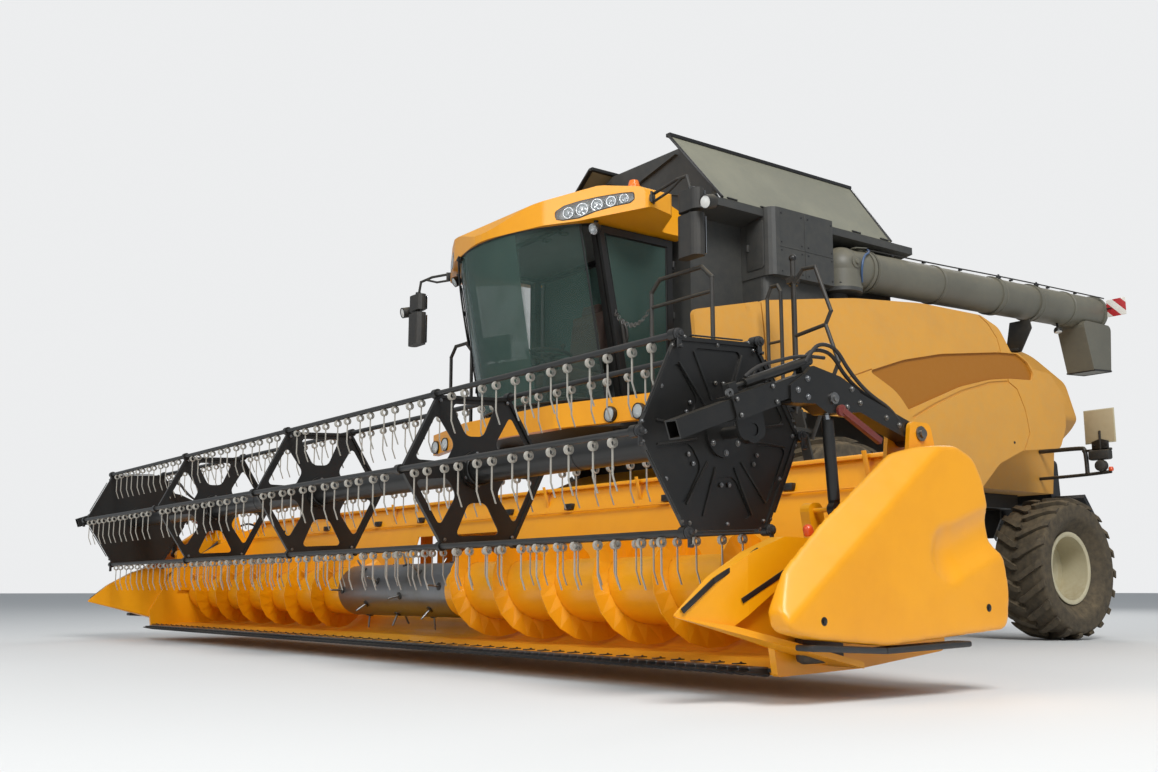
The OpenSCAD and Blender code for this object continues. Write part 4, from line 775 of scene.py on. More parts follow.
    def hose(self, points: list[Place], radius: float, sides: int = 10, bends: bool = True) -> Piece:
        """Models a hose, wire or bent tube along a line.

        Args:
            points: Places along it.
            radius: Its radius.
            sides: Faces round it.
            bends: True to round its corners.

        Returns:
            The hose.
        """
        bpy.ops.curve.primitive_nurbs_path_add()
        obj = bpy.context.object
        line = obj.data
        line.splines.clear()
        spline = line.splines.new("NURBS" if bends else "POLY")
        spline.points.add(len(points) - 1)
        for point, place in zip(spline.points, points):
            point.co = (*self.metres(place), 1.0)
        if bends:
            spline.order_u = min(3, len(points))
            spline.use_endpoint_u = True
        line.dimensions, line.resolution_u = "3D", 6
        line.bevel_depth, line.bevel_resolution, line.use_fill_caps = radius / 1000, max(0, sides // 2 - 2), True
        bpy.ops.object.convert(target="MESH")
        obj = bpy.context.object
        bpy.ops.object.mode_set(mode="EDIT")
        bpy.ops.mesh.select_all(action="SELECT")
        bpy.ops.mesh.remove_doubles(threshold=0.00002)
        bpy.ops.mesh.normals_make_consistent(inside=False)
        bpy.ops.object.mode_set(mode="OBJECT")
        return obj

    def copy(self, obj: Piece, change: Matrix) -> Piece:
        """Copies a piece with a mesh of its own.

        Args:
            obj: The piece.
            change: Change of place in mm.

        Returns:
            The copy.
        """
        twin = obj.copy()
        twin.data = obj.data.copy()
        bpy.context.scene.collection.objects.link(twin)
        return self.moved(twin, change)

    def moved(self, obj: Piece, change: Matrix) -> Piece:
        """Moves, turns or mirrors a piece.

        Args:
            obj: The piece.
            change: Change of place in mm.

        Returns:
            The same piece.
        """
        home = Matrix.Translation(self.origin / 1000)
        change = change.copy()
        change.translation /= 1000
        obj.data.transform(home @ change @ home.inverted())
        if change.determinant() < 0:
            obj.data.flip_normals()
        return obj

    def row(self, obj: Piece, count: int, step: Any) -> list[Piece]:
        """Repeats a piece in a straight row.

        Args:
            obj: The piece.
            count: How many there are in all.
            step: From one to the next.

        Returns:
            The piece and its copies.
        """
        return [obj] + [self.copy(obj, Matrix.Translation(Vector(step) * i)) for i in range(1, count)]

    def grid(self, obj: Piece, counts: tuple[int, int], step: tuple[float, float]) -> list[Piece]:
        """Repeats a piece in rows along X and Y.

        Args:
            obj: The piece.
            counts: How many there are each way.
            step: From one to the next each way.

        Returns:
            The piece and its copies.
        """
        line = self.row(obj, counts[0], (step[0], 0, 0))
        return [twin for piece in line for twin in self.row(piece, counts[1], (0, step[1], 0))]

    def spun(self, obj: Piece, count: int, centre: Place, axis: Any = LEFT) -> list[Piece]:
        """Repeats a piece round an axis.

        Args:
            obj: The piece.
            count: How many there are in all.
            centre: A point on the axis.
            axis: The axis.

        Returns:
            The piece and its copies.
        """
        there = Matrix.Translation(centre)
        turns = [Matrix.Rotation(math.tau * i / count, 4, Vector(axis)) for i in range(1, count)]
        return [obj] + [self.copy(obj, there @ turn @ there.inverted()) for turn in turns]

    def both(self, parts: list[Piece]) -> list[Piece]:
        """Adds the mirror images on the other side of the machine.

        Args:
            parts: Pieces of one side.

        Returns:
            The pieces of both sides.
        """
        return parts + self.across(parts)

    def across(self, parts: list[Piece]) -> list[Piece]:
        """Makes the mirror images alone.

        Args:
            parts: Pieces of one side.

        Returns:
            The pieces of the other side.
        """
        return [self.copy(part, Matrix.Scale(-1, 4, Vector(LEFT))) for part in parts]

    def bolt(self, place: Any, axis: Any, size: float = 12.0) -> Piece:
        """Models a bolt head on its washer, standing up from a face.

        Args:
            place: Where its axis meets the face.
            axis: Outward from the face.
            size: Half the width of the head.

        Returns:
            The bolt.
        """
        rows = [(size * 1.5, -1.0), (size * 1.5, size * 0.22), (size * 0.98, size * 0.24), (size, size * 0.8),
                (size * 0.8, size)]
        return self.turned(rows, place, axis, sides=8)

    def deliver(self, name: str, parts: list[Piece], finish: Coating | Glazing, body: str = "chassis",
                angle: float = 35.0) -> Piece:
        """Joins the parts into one finished piece that moves with a body.

        Args:
            name: Name of the piece.
            parts: Its parts.
            finish: Its finish.
            body: The body it moves with.
            angle: Edges flatter than this are shaded smooth, in degrees.

        Returns:
            The finished piece.
        """
        obj = self.alone(parts[0])
        for part in parts[1:]:
            part.select_set(True)
        if len(parts) > 1:
            bpy.ops.object.join()
        obj.name = obj.data.name = name
        bpy.ops.object.shade_smooth_by_angle(angle=math.radians(angle))
        self.shop.coat(obj, finish)
        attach(obj, body)
        LOG.info("piece %s on %s: %d faces", name, body, len(obj.data.polygons))
        return obj


# ---------------------------------------------------------------- wheels


@dataclass
class WheelTrim(Assembly):
    """What is bolted to one pair of wheels.

    Attributes:
        name: Start of the pieces' names and of the wheels' bodies.
        centre: Middle of the left tyre.
        hub_face: Outer face of the rim's disc.
        hub_r: Radius of the hub.
        stud_r: Radius of the ring of studs.
        rim_r: Seat radius of the rim.
        rim_half: Half the width between the rim's flanges.
        studs: Number of studs.
    """

    name: str
    centre: Place
    hub_face: float
    hub_r: float
    stud_r: float
    rim_r: float
    rim_half: float
    studs: int = 10

    def build(self) -> None:
        """Builds hub, studs, flange ring and valve on both sides."""
        face = self.hub_face - self.centre[1]
        hub = [(0.62, -2), (0.6, 34), (0.52, 44), (0.3, 48), (0.28, 62), (0.2, 66)]
        top = (self.centre[0] + self.stud_r, self.hub_face, self.centre[2])
        stud = self.turned([(19, -1), (19, 5), (15, 7), (15, 22), (9, 24), (9, 40), (7, 42)], top, LEFT, sides=8)
        flange = [(12, 0), (26, 3), (27, 16), (16, 20), (-4, 18), (-16, 9), (-12, 0), (12, 0)]
        bead = [(-62, -60), (-40, -56), (-34, -66), (-62, -60)]
        stem = (self.centre[0] - 0.62 * self.rim_r, self.hub_face - 40, self.centre[2] + 0.35 * self.rim_r)
        # the hub's radii are shares of its own, the rest stand off the rim; heights count from the tyre's middle
        round_axis = [self.turned(rows, self.centre, LEFT, 64) for rows in (
            [(self.hub_r * share, face + out) for share, out in hub],
            [(self.rim_r + over, self.rim_half + out) for over, out in flange],
            [(self.rim_r + over, face + out) for over, out in bead])]
        near = (round_axis[:1], self.spun(stud, self.studs, self.centre), round_axis[1:],
                [self.turned([(9, -30), (9, 14), (6, 16), (6, 38), (8, 39), (8, 52), (5, 54)], stem, LEFT, sides=12)])
        far = [self.across(parts) for parts in near]
        for side, sets in (("left", near), ("right", far)):
            for piece, parts, finish in zip(("hub", "studs", "rim_edge", "valve"), sets, (IRON, STEEL, CREAM, BLACK)):
                self.deliver(f"{self.name}_{piece}_{side}", parts, finish, f"{self.name}_{side}")


# ---------------------------------------------------------------- header and reel


@dataclass
class ReelTrim(Assembly):
    """Bolts, caps and pressings of the reel.

    Attributes:
        centre: Reel shaft, x and z.
        radius: From the shaft to a tine bar.
        turn: Angle of the first bar in degrees.
        end: Outer face of an end plate.
        spiders: Places of the open plates.
        bar_r: Radius of a tine bar's tube.
    """

    centre: tuple[float, float] = (4160.0, 1270.0)
    radius: float = 545.0
    turn: float = -3.0
    end: float = 4492.0
    spiders: tuple[float, ...] = (-2250.0, 0.0, 2250.0)
    bar_r: float = 17.0

    def spot(self, radius: float, angle: float, y: float) -> Place:
        """Gives a place on the reel.

        Args:
            radius: Distance from the shaft.
            angle: Degrees from the first bar.
            y: Place along the shaft.

        Returns:
            The place.
        """
        turn = math.radians(angle + self.turn)
        return (self.centre[0] + radius * math.cos(turn), y, self.centre[1] + radius * math.sin(turn))

    def shaft(self, y: float = 0.0) -> Place:
        """Gives a place on the reel's shaft.

        Args:
            y: Place along it.

        Returns:
            The place.
        """
        return (self.centre[0], y, self.centre[1])

    def bar_finishes(self) -> dict[Coating, list[str]]:
        """Gives each tine bar's finish, which knows where the bar's tube lies.

        Returns:
            The finish and node name of every bar.
        """
        found = {}
        for number in range(1, 7):
            x, _, z = self.spot(self.radius, 60 * number, 0)
            axis = ((x + self.origin.x) / 1000, z / 1000)
            found[TineCoating(f"black enamel and spring steel {number}", "dark_steel", "#1c1e20", "#232527",
                              dust="#7a6b50", dusting=0.12, haze=0.03, roughness=0.4, axis=axis,
                              tube_r=self.bar_r / 1000)] = [f"tine_bar_{number}"]
        return found

    def bolts(self) -> None:
        """Adds the bright bolts of hubs, bosses and plates."""
        hub = self.spun(self.bolt(self.spot(95, 30, self.end + 18), LEFT, 11), 6, self.shaft())
        for angle, radius in ((0, self.radius - 52), (5.2, self.radius - 34), (-5.2, self.radius - 34), (30, 438),
                              (24, 250), (36, 250)):
            hub += self.spun(self.bolt(self.spot(radius, angle, self.end + 0.5), LEFT, 8), 6, self.shaft())
        self.deliver("reel_end_bolts", self.both(hub), STEEL, "reel_rotor")
        parts = []
        for y in self.spiders:
            for face in (-1, 1):
                for angle, radius, size, lift in ((0, self.radius - 46, 8, 16), (30, 100, 9, 26)):
                    bolt = self.bolt(self.spot(radius, angle, y + face * lift), (0, face, 0), size)
                    parts += self.spun(bolt, 6, self.shaft())
        self.deliver("reel_spider_bolts", parts, STEEL, "reel_rotor")

    def pressings(self) -> None:
        """Adds the raised ribs and the clamp halves round the tube."""
        ribs = []
        for angle in (-9.0, 9.0):
            rib = self.beam(self.spot(175, angle, self.end + 1), self.spot(430, angle * 0.86, self.end + 1), 16, 9, 3)
            ribs += self.spun(rib, 6, self.shaft())
        rim = self.beam(self.spot(505, 10, self.end + 3), self.spot(505, 50, self.end + 3), 10, 8, 3)
        ribs += self.spun(rim, 6, self.shaft())
        self.deliver("reel_end_ribs", self.both(ribs), BLACK, "reel_rotor")
        half = [(92, 26), (92, 60), (97, 62), (103, 58), (103, 27), (92, 26)]
        seam = [(88.5, -5), (91.5, -4), (91.5, 4), (88.5, 5), (88.5, -5)]
        faces = ((0, -1, 0), LEFT)
        clamps = [self.turned(half, self.shaft(y), face, 48) for y in self.spiders for face in faces]
        seams = [self.turned(seam, self.shaft(y), LEFT, 48) for y in (-3375, -1125, 1125, 3375)]
        self.deliver("reel_tube_clamps", clamps + seams, BLACK, "reel_rotor")

    def bar_ends(self) -> None:
        """Adds the caps and cranks on the ends of the tine bars."""
        for number in range(1, 7):
            x, _, z = self.spot(self.radius, 60 * number, 0)
            rows = [(29, -3), (29, 4), (24, 6), (24, 14), (13, 16), (13, 25), (9, 27)]
            cap = self.turned(rows, (x, 4512, z), LEFT, 16)
            crank = self.beam((x, 4518, z + 6), (x, 4518, z - 70), 26, 8, 3)
            pin = self.turned([(9, 0), (9, 18), (7, 20)], (x, 4520, z - 62), LEFT, 12)
            self.deliver(f"tine_bar_ends_{number}", self.both([cap, crank, pin]), DARK_STEEL, f"tines_{number}")

    def build(self) -> None:
        """Builds every piece of the reel."""
        self.bolts()
        self.pressings()
        self.bar_ends()


@dataclass
class ArmTrim(Assembly):
    """Hoses, pins, bolts and the prop of the reel arms.

    Attributes:
        y: Middle plane of the left arm.
        pivot: Hinge of the arm, x and z.
        elbow: Start of the straight tube.
        tip: End of the straight tube.
        half: Half the arm's width.
    """

    y: float = 4750.0
    pivot: tuple[float, float] = (3070.0, 1320.0)
    elbow: tuple[float, float] = (3810.0, 1540.0)
    tip: tuple[float, float] = (4710.0, 1220.0)
    half: float = 50.0

    def tube(self, along: float, up: float, across: float = 0.0) -> Place:
        """Gives a place in the frame of the straight tube.

        Args:
            along: Distance from the elbow.
            up: Distance above its middle line.
            across: Distance to the left of it.

        Returns:
            The place.
        """
        run = Vector((self.tip[0] - self.elbow[0], self.tip[1] - self.elbow[1])).normalized()
        return (self.elbow[0] + along * run.x - up * run.y, self.y + across, self.elbow[1] + along * run.y + up * run.x)

    def build(self) -> None:
        """Builds the pieces of both arms."""
        y = self.y
        # the pair lies side by side at the hinge and one above the other on the arm's back
        pair = [[(3150, y + 16 + off, 1330), (3230, y + 20 + off, 1430), (3420, y + 12 + off, 1500),
                 (3560, y + 8 + off, 1580 + off), (3640, y + off, 1690 + off), (3760, y - 4 + off, 1700 + off),
                 (3830, y - 4 + off, 1660), (3860, y - 8 + off, 1618)] for off in (0.0, 26.0)]
        feed = [self.tube(440, 118, 8), self.tube(360, 150, 14), self.tube(200, 140, 16), self.tube(20, 128, 10),
                (3700, y, 1660)]
        hoses = [self.hose(run, 10) for run in pair] + [self.hose(feed, 9)]
        self.deliver("arm_hoses", self.both(hoses), RUBBER_HOSE, "arms")
        pin = [(40, -1), (40, 8), (24, 10), (24, 24), (14, 26)]
        pins = [self.turned(pin, (self.pivot[0], y + 82, self.pivot[1]), LEFT, 12)]
        self.deliver("arm_hinge_pins", self.both(pins), STEEL, "header")
        spots = ((3500, 1446), (3600, 1416), (3560, 1510), (3880, 1530), (3950, 1468), (3880, 1440), (3200, 1358),
                 (3300, 1388))
        parts = [self.bolt((x, y + self.half, z), LEFT, 11) for x, z in spots]
        boss = [(30, 0), (30, 12), (18, 14), (18, 24), (12, 26)]
        parts.append(self.turned(boss, (3700, y + self.half, 1450), LEFT, 12))
        self.deliver("arm_bolts", self.both(parts), STEEL, "arms")
        run = [self.beam((3654, y + 62, 1392), (3372, y + 62, 1259), 30, 34, 4),
               self.turned([(30, -8), (30, 8), (22, 10), (12, 12)], (3654, y + 60, 1392), LEFT, 16)]
        self.deliver("arm_props", self.both(run), PROP_RED, "arms")
        sleeve = [self.bolt(self.tube(along, up, 58), LEFT, 8) for along in (325, 575) for up in (-38, 38)]
        cap = self.turned([(46, 0), (46, 8), (38, 10), (22, 11), (22, 20), (10, 22)], (4160, y - 99, 1270),
                          (0, -1, 0), 24)
        eye = self.turned([(10, -7), (22, -7), (22, 7), (10, 7), (10, -7)], self.tube(588, 72, 30), LEFT, 20)
        self.deliver("sleeve_bolts", self.both(sleeve + [eye]), STEEL, "carriage")
        self.deliver("reel_bearing_caps", self.both([cap]), BLACK, "carriage")


@dataclass
class HeaderTrim(Assembly):
    """Guards, auger fingers, creases, brackets and lamps of the header.

    Attributes:
        half: Half the cutting width.
        knife: Knife line, x and z.
        pitch: Distance between guards.
        auger: Auger shaft, x and z.
        tube_r: Radius of the auger's tube.
        fingers: Number of fingers in its middle.
        softening: Rounds of smoothing of the moulded shields.
    """

    half: float = 4560.0
    knife: tuple[float, float] = (3950.0, 148.0)
    pitch: float = 76.2
    auger: tuple[float, float] = (3350.0, 520.0)
    tube_r: float = 205.0
    fingers: int = 22
    softening: int = 14

    def guards(self) -> None:
        """Adds a forged point under each knife section and its bolts."""
        count = int(2 * (self.half - 20) / self.pitch)
        first = -count * self.pitch / 2 + self.pitch / 2
        x, z = self.knife
        rows = [(12, 0), (15, 20), (13, 70), (9, 110), (5, 140), (1.5, 152)]
        point = self.turned(rows, (x - 60, first, z - 30), (1, 0, 0.1), 8)
        self.deliver("knife_guard_points", self.row(point, count, (0, self.pitch, 0)), DARK_STEEL, "header")
        clip = self.block((70, 34, 6), (x - 52, first - self.pitch / 2, z + 12), edge=1.5)
        bolt = self.bolt((x - 66, first - self.pitch / 2, z + 15), UP, 6)
        clips = [twin for piece in (clip, bolt) for twin in self.row(piece, count // 2, (0, 2 * self.pitch, 0))]
        self.deliver("knife_clips", clips, DARK_STEEL, "header")

    def radial(self, angle: float) -> Vector:
        """Gives a direction out from the auger's shaft.

        Args:
            angle: Degrees from straight ahead, upward.

        Returns:
            A unit vector.
        """
        return Vector((math.cos(math.radians(angle)), 0, math.sin(math.radians(angle))))

    def auger_pieces(self) -> None:
        """Adds the worn middle of the auger, its fingers and the seams of the flights."""
        x, z = self.auger
        r = self.tube_r
        rows = [(0.4, -880), (2.5, -876), (2.5, 876), (0.4, 880), (-4, 880), (-4, -880), (0.4, -880)]
        sleeve = self.turned([(r + over, along) for over, along in rows], (x, 0, z), LEFT, 64)
        self.deliver("auger_worn_sleeve", [sleeve], STEEL, "auger", 30)
        fingers, guides = [], []
        for i in range(self.fingers):
            y = -800 + 1600 * i / (self.fingers - 1)
            out = self.radial(137.5 * i)
            base = Vector((x, y, z)) + out * r
            fingers.append(self.turned([(8, -20), (8, 95), (6.5, 104), (3, 108)], base, out, 10))
            guides.append(self.turned([(30, 1), (30, 8), (22, 11), (12, 12)], base, out, 12))
        self.deliver("auger_fingers", fingers, STEEL, "auger")
        self.deliver("auger_finger_guides", guides, BLACK, "auger")
        gussets = []
        for i in range(13):
            y = 4450 - i * 280
            out = self.radial(180 * i + 40)
            side = Vector((-out.z, 0, out.x))
            foot = Vector((x, y - 34, z)) + out * (r + 4)
            gussets.append(self.beam(foot, foot + out * 60 + Vector((0, 22, 0)) + side * 2, 46, 6, 1.5))
        self.deliver("auger_gussets", self.both(gussets), YELLOW, "auger")

    def back(self) -> None:
        """Adds the creases, joints and brackets of the trough's back wall."""
        seams = []
        for y in (1200, 2300, 3400, 4300):
            seams.append(self.block((5, 34, 235), (2856, y, 1180), (0, 14, 0), 2))
            for z in (1100, 1175, 1250):
                seams.append(self.bolt((2866 - (z - 1100) * 0.26, y, z), (1, 0, 0.25), 6))
        rail = self.beam((2836, -4540, 1266), (2836, 4540, 1266), 36, 26, 6)
        lip = self.beam((2880, -4540, 1092), (2880, 4540, 1092), 14, 10, 3)
        self.deliver("back_wall_joints", self.both(seams) + [rail, lip], YELLOW, "header")
        blocks = [self.block((40, 90, 46), (2862, y, 1130), edge=6) for y in (700, 1500, 2600, 3700)]
        self.deliver("back_wall_brackets", self.both(blocks), BLACK, "header")

    def ends(self) -> None:
        """Adds the skid, edge strips, slots and small lamps at the header's ends."""
        y0 = self.half + 40.3
        strip = [self.beam((4560, y0 + 28, 426), (4390, y0 + 54, 560), 10, 26, 3),
                 self.beam((4390, y0 + 54, 560), (4120, y0 + 76, 706), 10, 26, 3)]
        slot = [self.beam((4240, y0 + 84, 470), (3900, y0 + 103, 640), 4, 26, 1.5)]
        self.deliver("divider_edge_strips", self.both(strip + slot), BLACK, "header")
        rows = [(20, 0), (26, 6), (26, 34), (22, 46), (12, 54), (3, 57)]
        lamp = [self.turned(rows, (3760, y0 + 70, 782), (0.3, 0, 1), 20)]
        self.deliver("divider_lamps", self.both(lamp), ORANGE, "header")
        skid = [self.beam((3560, 4905, 236), (2900, 4905, 252), 110, 30, 10),
                self.beam((4080, 4905, 262), (3560, 4905, 236), 110, 30, 10)]
        self.deliver("shield_skids", self.both(skid), DARK_STEEL, "header")
        cups = [self.turned([(20, 0), (20, 3), (15, 4), (12, 1), (11, 1), (11, 7), (7, 8)], (x, 4969, z), LEFT, 20)
                for x, z in ((4010, 380), (2760, 430))]
        self.deliver("shield_fasteners", self.both(cups), BLACK, "header")
        gear = [self.block((300, 70, 260), (3700, 4660, 300), edge=30), self.drum(90, 40, (3760, 4668, 300), LEFT, 8),
                self.beam((3560, 4650, 330), (3200, 4640, 520), 60, 40, 8)]
        self.deliver("knife_drive", self.both(gear), IRON, "header")
        hoses = [self.hose([(2700, 4660, 1180), (2800, 4680, 1290), (2980, 4690, 1230), (3120, 4696, 1120),
                            (3400, 4690, 880), (3590, 4690, 800)], 12),
                 self.hose([(2660, 4500, 1230), (2640, 3000, 1250), (2650, 1500, 1240), (2600, 640, 1180)], 14)]
        self.deliver("header_hoses", self.both(hoses), RUBBER_HOSE, "header")

    def shields(self) -> None:
        """Softens the moulded shields: the CAD solids are remeshed, smoothed and put in their place."""
        shell = self.copy(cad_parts["shields"], Matrix.Identity(4))
        remesh = shell.modifiers.new("remesh", "REMESH")
        remesh.mode, remesh.voxel_size = "VOXEL", 0.011
        smooth = shell.modifiers.new("smooth", "SMOOTH")
        smooth.factor, smooth.iterations = 0.5, self.softening
        thin = shell.modifiers.new("thin", "DECIMATE")
        thin.ratio = 0.35
        self.alone(shell)
        bpy.ops.object.convert(target="MESH")
        made = self.deliver("moulded_shields", [bpy.context.object], YELLOW, "header", 60)
        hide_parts("shields")

    def build(self) -> None:
        """Builds every piece of the header."""
        self.guards()
        self.auger_pieces()
        self.back()
        self.ends()
        self.shields()


# ---------------------------------------------------------------- lamps and cab


class Brim:
    """The front edge of the roof's wing: along it, inward from it, and up."""

    start = (2560.0, 720.0)
    angle = 118.94

    def matrix(self) -> Matrix:
        """Gives the change from the edge's own frame to the machine's.

        Returns:
            The matrix in mm.
        """
        return Matrix.Translation((*self.start, 0)) @ Matrix.Rotation(math.radians(self.angle), 4, "Z")

    def place(self, along: float, inward: float, z: float) -> Vector:
        """Gives a place on the wing.

        Args:
            along: Distance along the edge.
            inward: Distance behind it.
            z: Height.

        Returns:
            The place.
        """
        return self.matrix() @ Vector((along, inward, z))


@dataclass
class LampSet(Assembly):
    """All lamps at the front: clusters in the roof, work lamps under it, head lamps in the bumper.

    Attributes:
        cluster: Outline of a roof cluster, along the edge and up.
        bowls: Along, height and radius of each reflector in it.
        heads: x and y of the head lamps in the bumper.
        beacon: Foot of the left beacon.
        brim: The edge of the roof that carries the clusters.
    """

    cluster: tuple[tuple[float, float], ...] = (
        (122, 3580), (109, 3612), (118, 3654), (195, 3690), (330, 3711), (500, 3725), (700, 3729), (812, 3722),
        (818, 3666), (775, 3640), (640, 3631), (480, 3610), (330, 3571), (180, 3568))
    bowls: tuple[Place, ...] = ((225, 3628, 44), (352, 3643, 50), (486, 3664, 48), (612, 3678, 40), (728, 3686, 36))
    heads: tuple[tuple[float, float], ...] = ((2245.0, 1270.0), (2185.0, 1550.0))
    beacon: Place = (1850.0, 1060.0, 3850.0)
    brim: Brim = field(default_factory=Brim)

    def bowl(self, radius: float, place: Any, axis: Any, depth: float = 30.0) -> list[Piece]:
        """Models a reflector bowl with its bulb.

        Args:
            radius: Radius of its mouth.
            place: Middle of its mouth.
            axis: Where it looks.
            depth: Depth of the bowl.

        Returns:
            Bowl and bulb.
        """
        rows = [(radius, 0), (radius * 0.93, -depth * 0.35), (radius * 0.72, -depth * 0.7), (radius * 0.3, -depth),
                (radius * 0.3, -depth - 2), (radius * 0.75, -depth * 0.7 - 3), (radius * 0.97, -depth * 0.35 - 3),
                (radius + 3, 0), (radius, 0)]
        bulb = self.turned([(radius * 0.2, -depth - 1), (radius * 0.2, -depth * 0.7), (radius * 0.26, -depth * 0.55),
                            (radius * 0.22, -depth * 0.3), (radius * 0.08, -depth * 0.24)], place, axis, 14)
        return [self.turned(rows, place, axis, 36), bulb]

    def clusters(self) -> None:
        """Builds the roof clusters."""
        outward = self.brim.matrix().to_3x3() @ Vector((0, -1, 0))
        outline = list(self.cluster)
        # drawn in the edge's own frame, then set on the roof
        back = self.moved(self.plate(outline, Plane.SIDE, 36, 39.5, 1), self.brim.matrix())
        cover = self.moved(self.plate(outline, Plane.SIDE, -4, -1, 1), self.brim.matrix())
        rim = [self.hose([self.brim.place(a, 2, z) for a, z in outline + outline[:1]], 4, 6, False)]
        bowls = []
        for along, z, radius in self.bowls:
            bowls += self.bowl(radius, self.brim.place(along, 6, z), outward, 26)
        fins = [self.moved(self.block((5, 24, 62), (along, 24, z), edge=1), self.brim.matrix())
                for along, z in ((288, 3640), (419, 3655), (549, 3672), (670, 3683))]
        self.deliver("roof_lamp_backs", self.both([back]), LAMP_GREY)
        self.deliver("roof_lamp_rims", self.both(rim + fins), BLACK)
        self.deliver("roof_lamp_bowls", self.both(bowls), MIRROR)
        self.deliver("roof_lamp_covers", self.both([cover]), CLEAR)

    def work_lamps(self) -> None:
        """Builds the round work lamps that hang under the roof."""
        tail, nose = Vector((2262, 1086, 3498)), Vector((2328, 1100, 3462))
        axis = (nose - tail).normalized()
        rows = [(16, 4), (34, 6), (46, 26), (50, 50), (50, 76), (46, 78), (44, 62), (20, 58)]
        case = self.turned(rows, tail, axis, 32)
        stem = self.turned([(12, 0), (12, 34), (20, 36), (20, 44)], (2285, 1090, 3500), UP, 16)
        bracket = self.beam((2285, 1060, 3510), (2285, 1120, 3510), 20, 8, 2)
        bowl = self.bowl(42, nose - axis * 3, axis, 16)
        lens = self.turned([(43, -3), (43, 0), (30, 5), (12, 8), (2, 9)], nose - axis * 2, axis, 32)
        self.deliver("work_lamp_cases", self.both([case, stem, bracket]), BLACK)
        self.deliver("work_lamp_bowls", self.both(bowl), MIRROR)
        self.deliver("work_lamp_lenses", self.both([lens]), CLEAR)

    def head_lamps(self) -> None:
        """Builds the head lamps in the bumper's sockets."""
        case = [(52, -56), (60, -50), (64.5, -4), (64.5, 2), (60, 4), (56, 0), (56, -6), (52, -40), (20, -52)]
        cover = [(55, -4), (55, 0), (42, 7), (22, 11), (3, 12.5)]
        mouths = [(x + 58, y, 1900) for x, y in self.heads]
        cases = [self.turned(case, mouth, AHEAD, 40) for mouth in mouths]
        bowls = [part for x, y in self.heads for part in self.bowl(53, (x + 53, y, 1900), AHEAD, 34)]
        covers = [self.turned(cover, mouth, AHEAD, 40) for mouth in mouths]
        self.deliver("head_lamp_cases", self.both(cases), BLACK)
        self.deliver("head_lamp_bowls", self.both(bowls), MIRROR)
        glass = self.deliver("head_lamp_covers", self.both(covers), CLEAR)
        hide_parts("lamps")

    def beacons(self) -> None:
        """Adds the black base ring and amber ribs of each beacon."""
        rows = [(57, 0), (64, 2), (64, 14), (60, 18), (55.6, 19), (55.6, 2), (57, 0)]
        rings = [self.turned(rows, self.beacon, UP, 36)]
        foot = Vector(self.beacon) + Vector((56, 0, 22))
        ribs = self.spun(self.beam(foot, foot + Vector((0, 0, 58)), 4, 5, 1), 18, self.beacon, UP)
        self.deliver("beacon_bases", self.both(rings), BLACK)
        self.deliver("beacon_ribs", self.both(ribs), AMBER)

    def build(self) -> None:
        """Builds all lamps."""
        self.clusters()
        self.work_lamps()
        self.head_lamps()
        self.beacons()


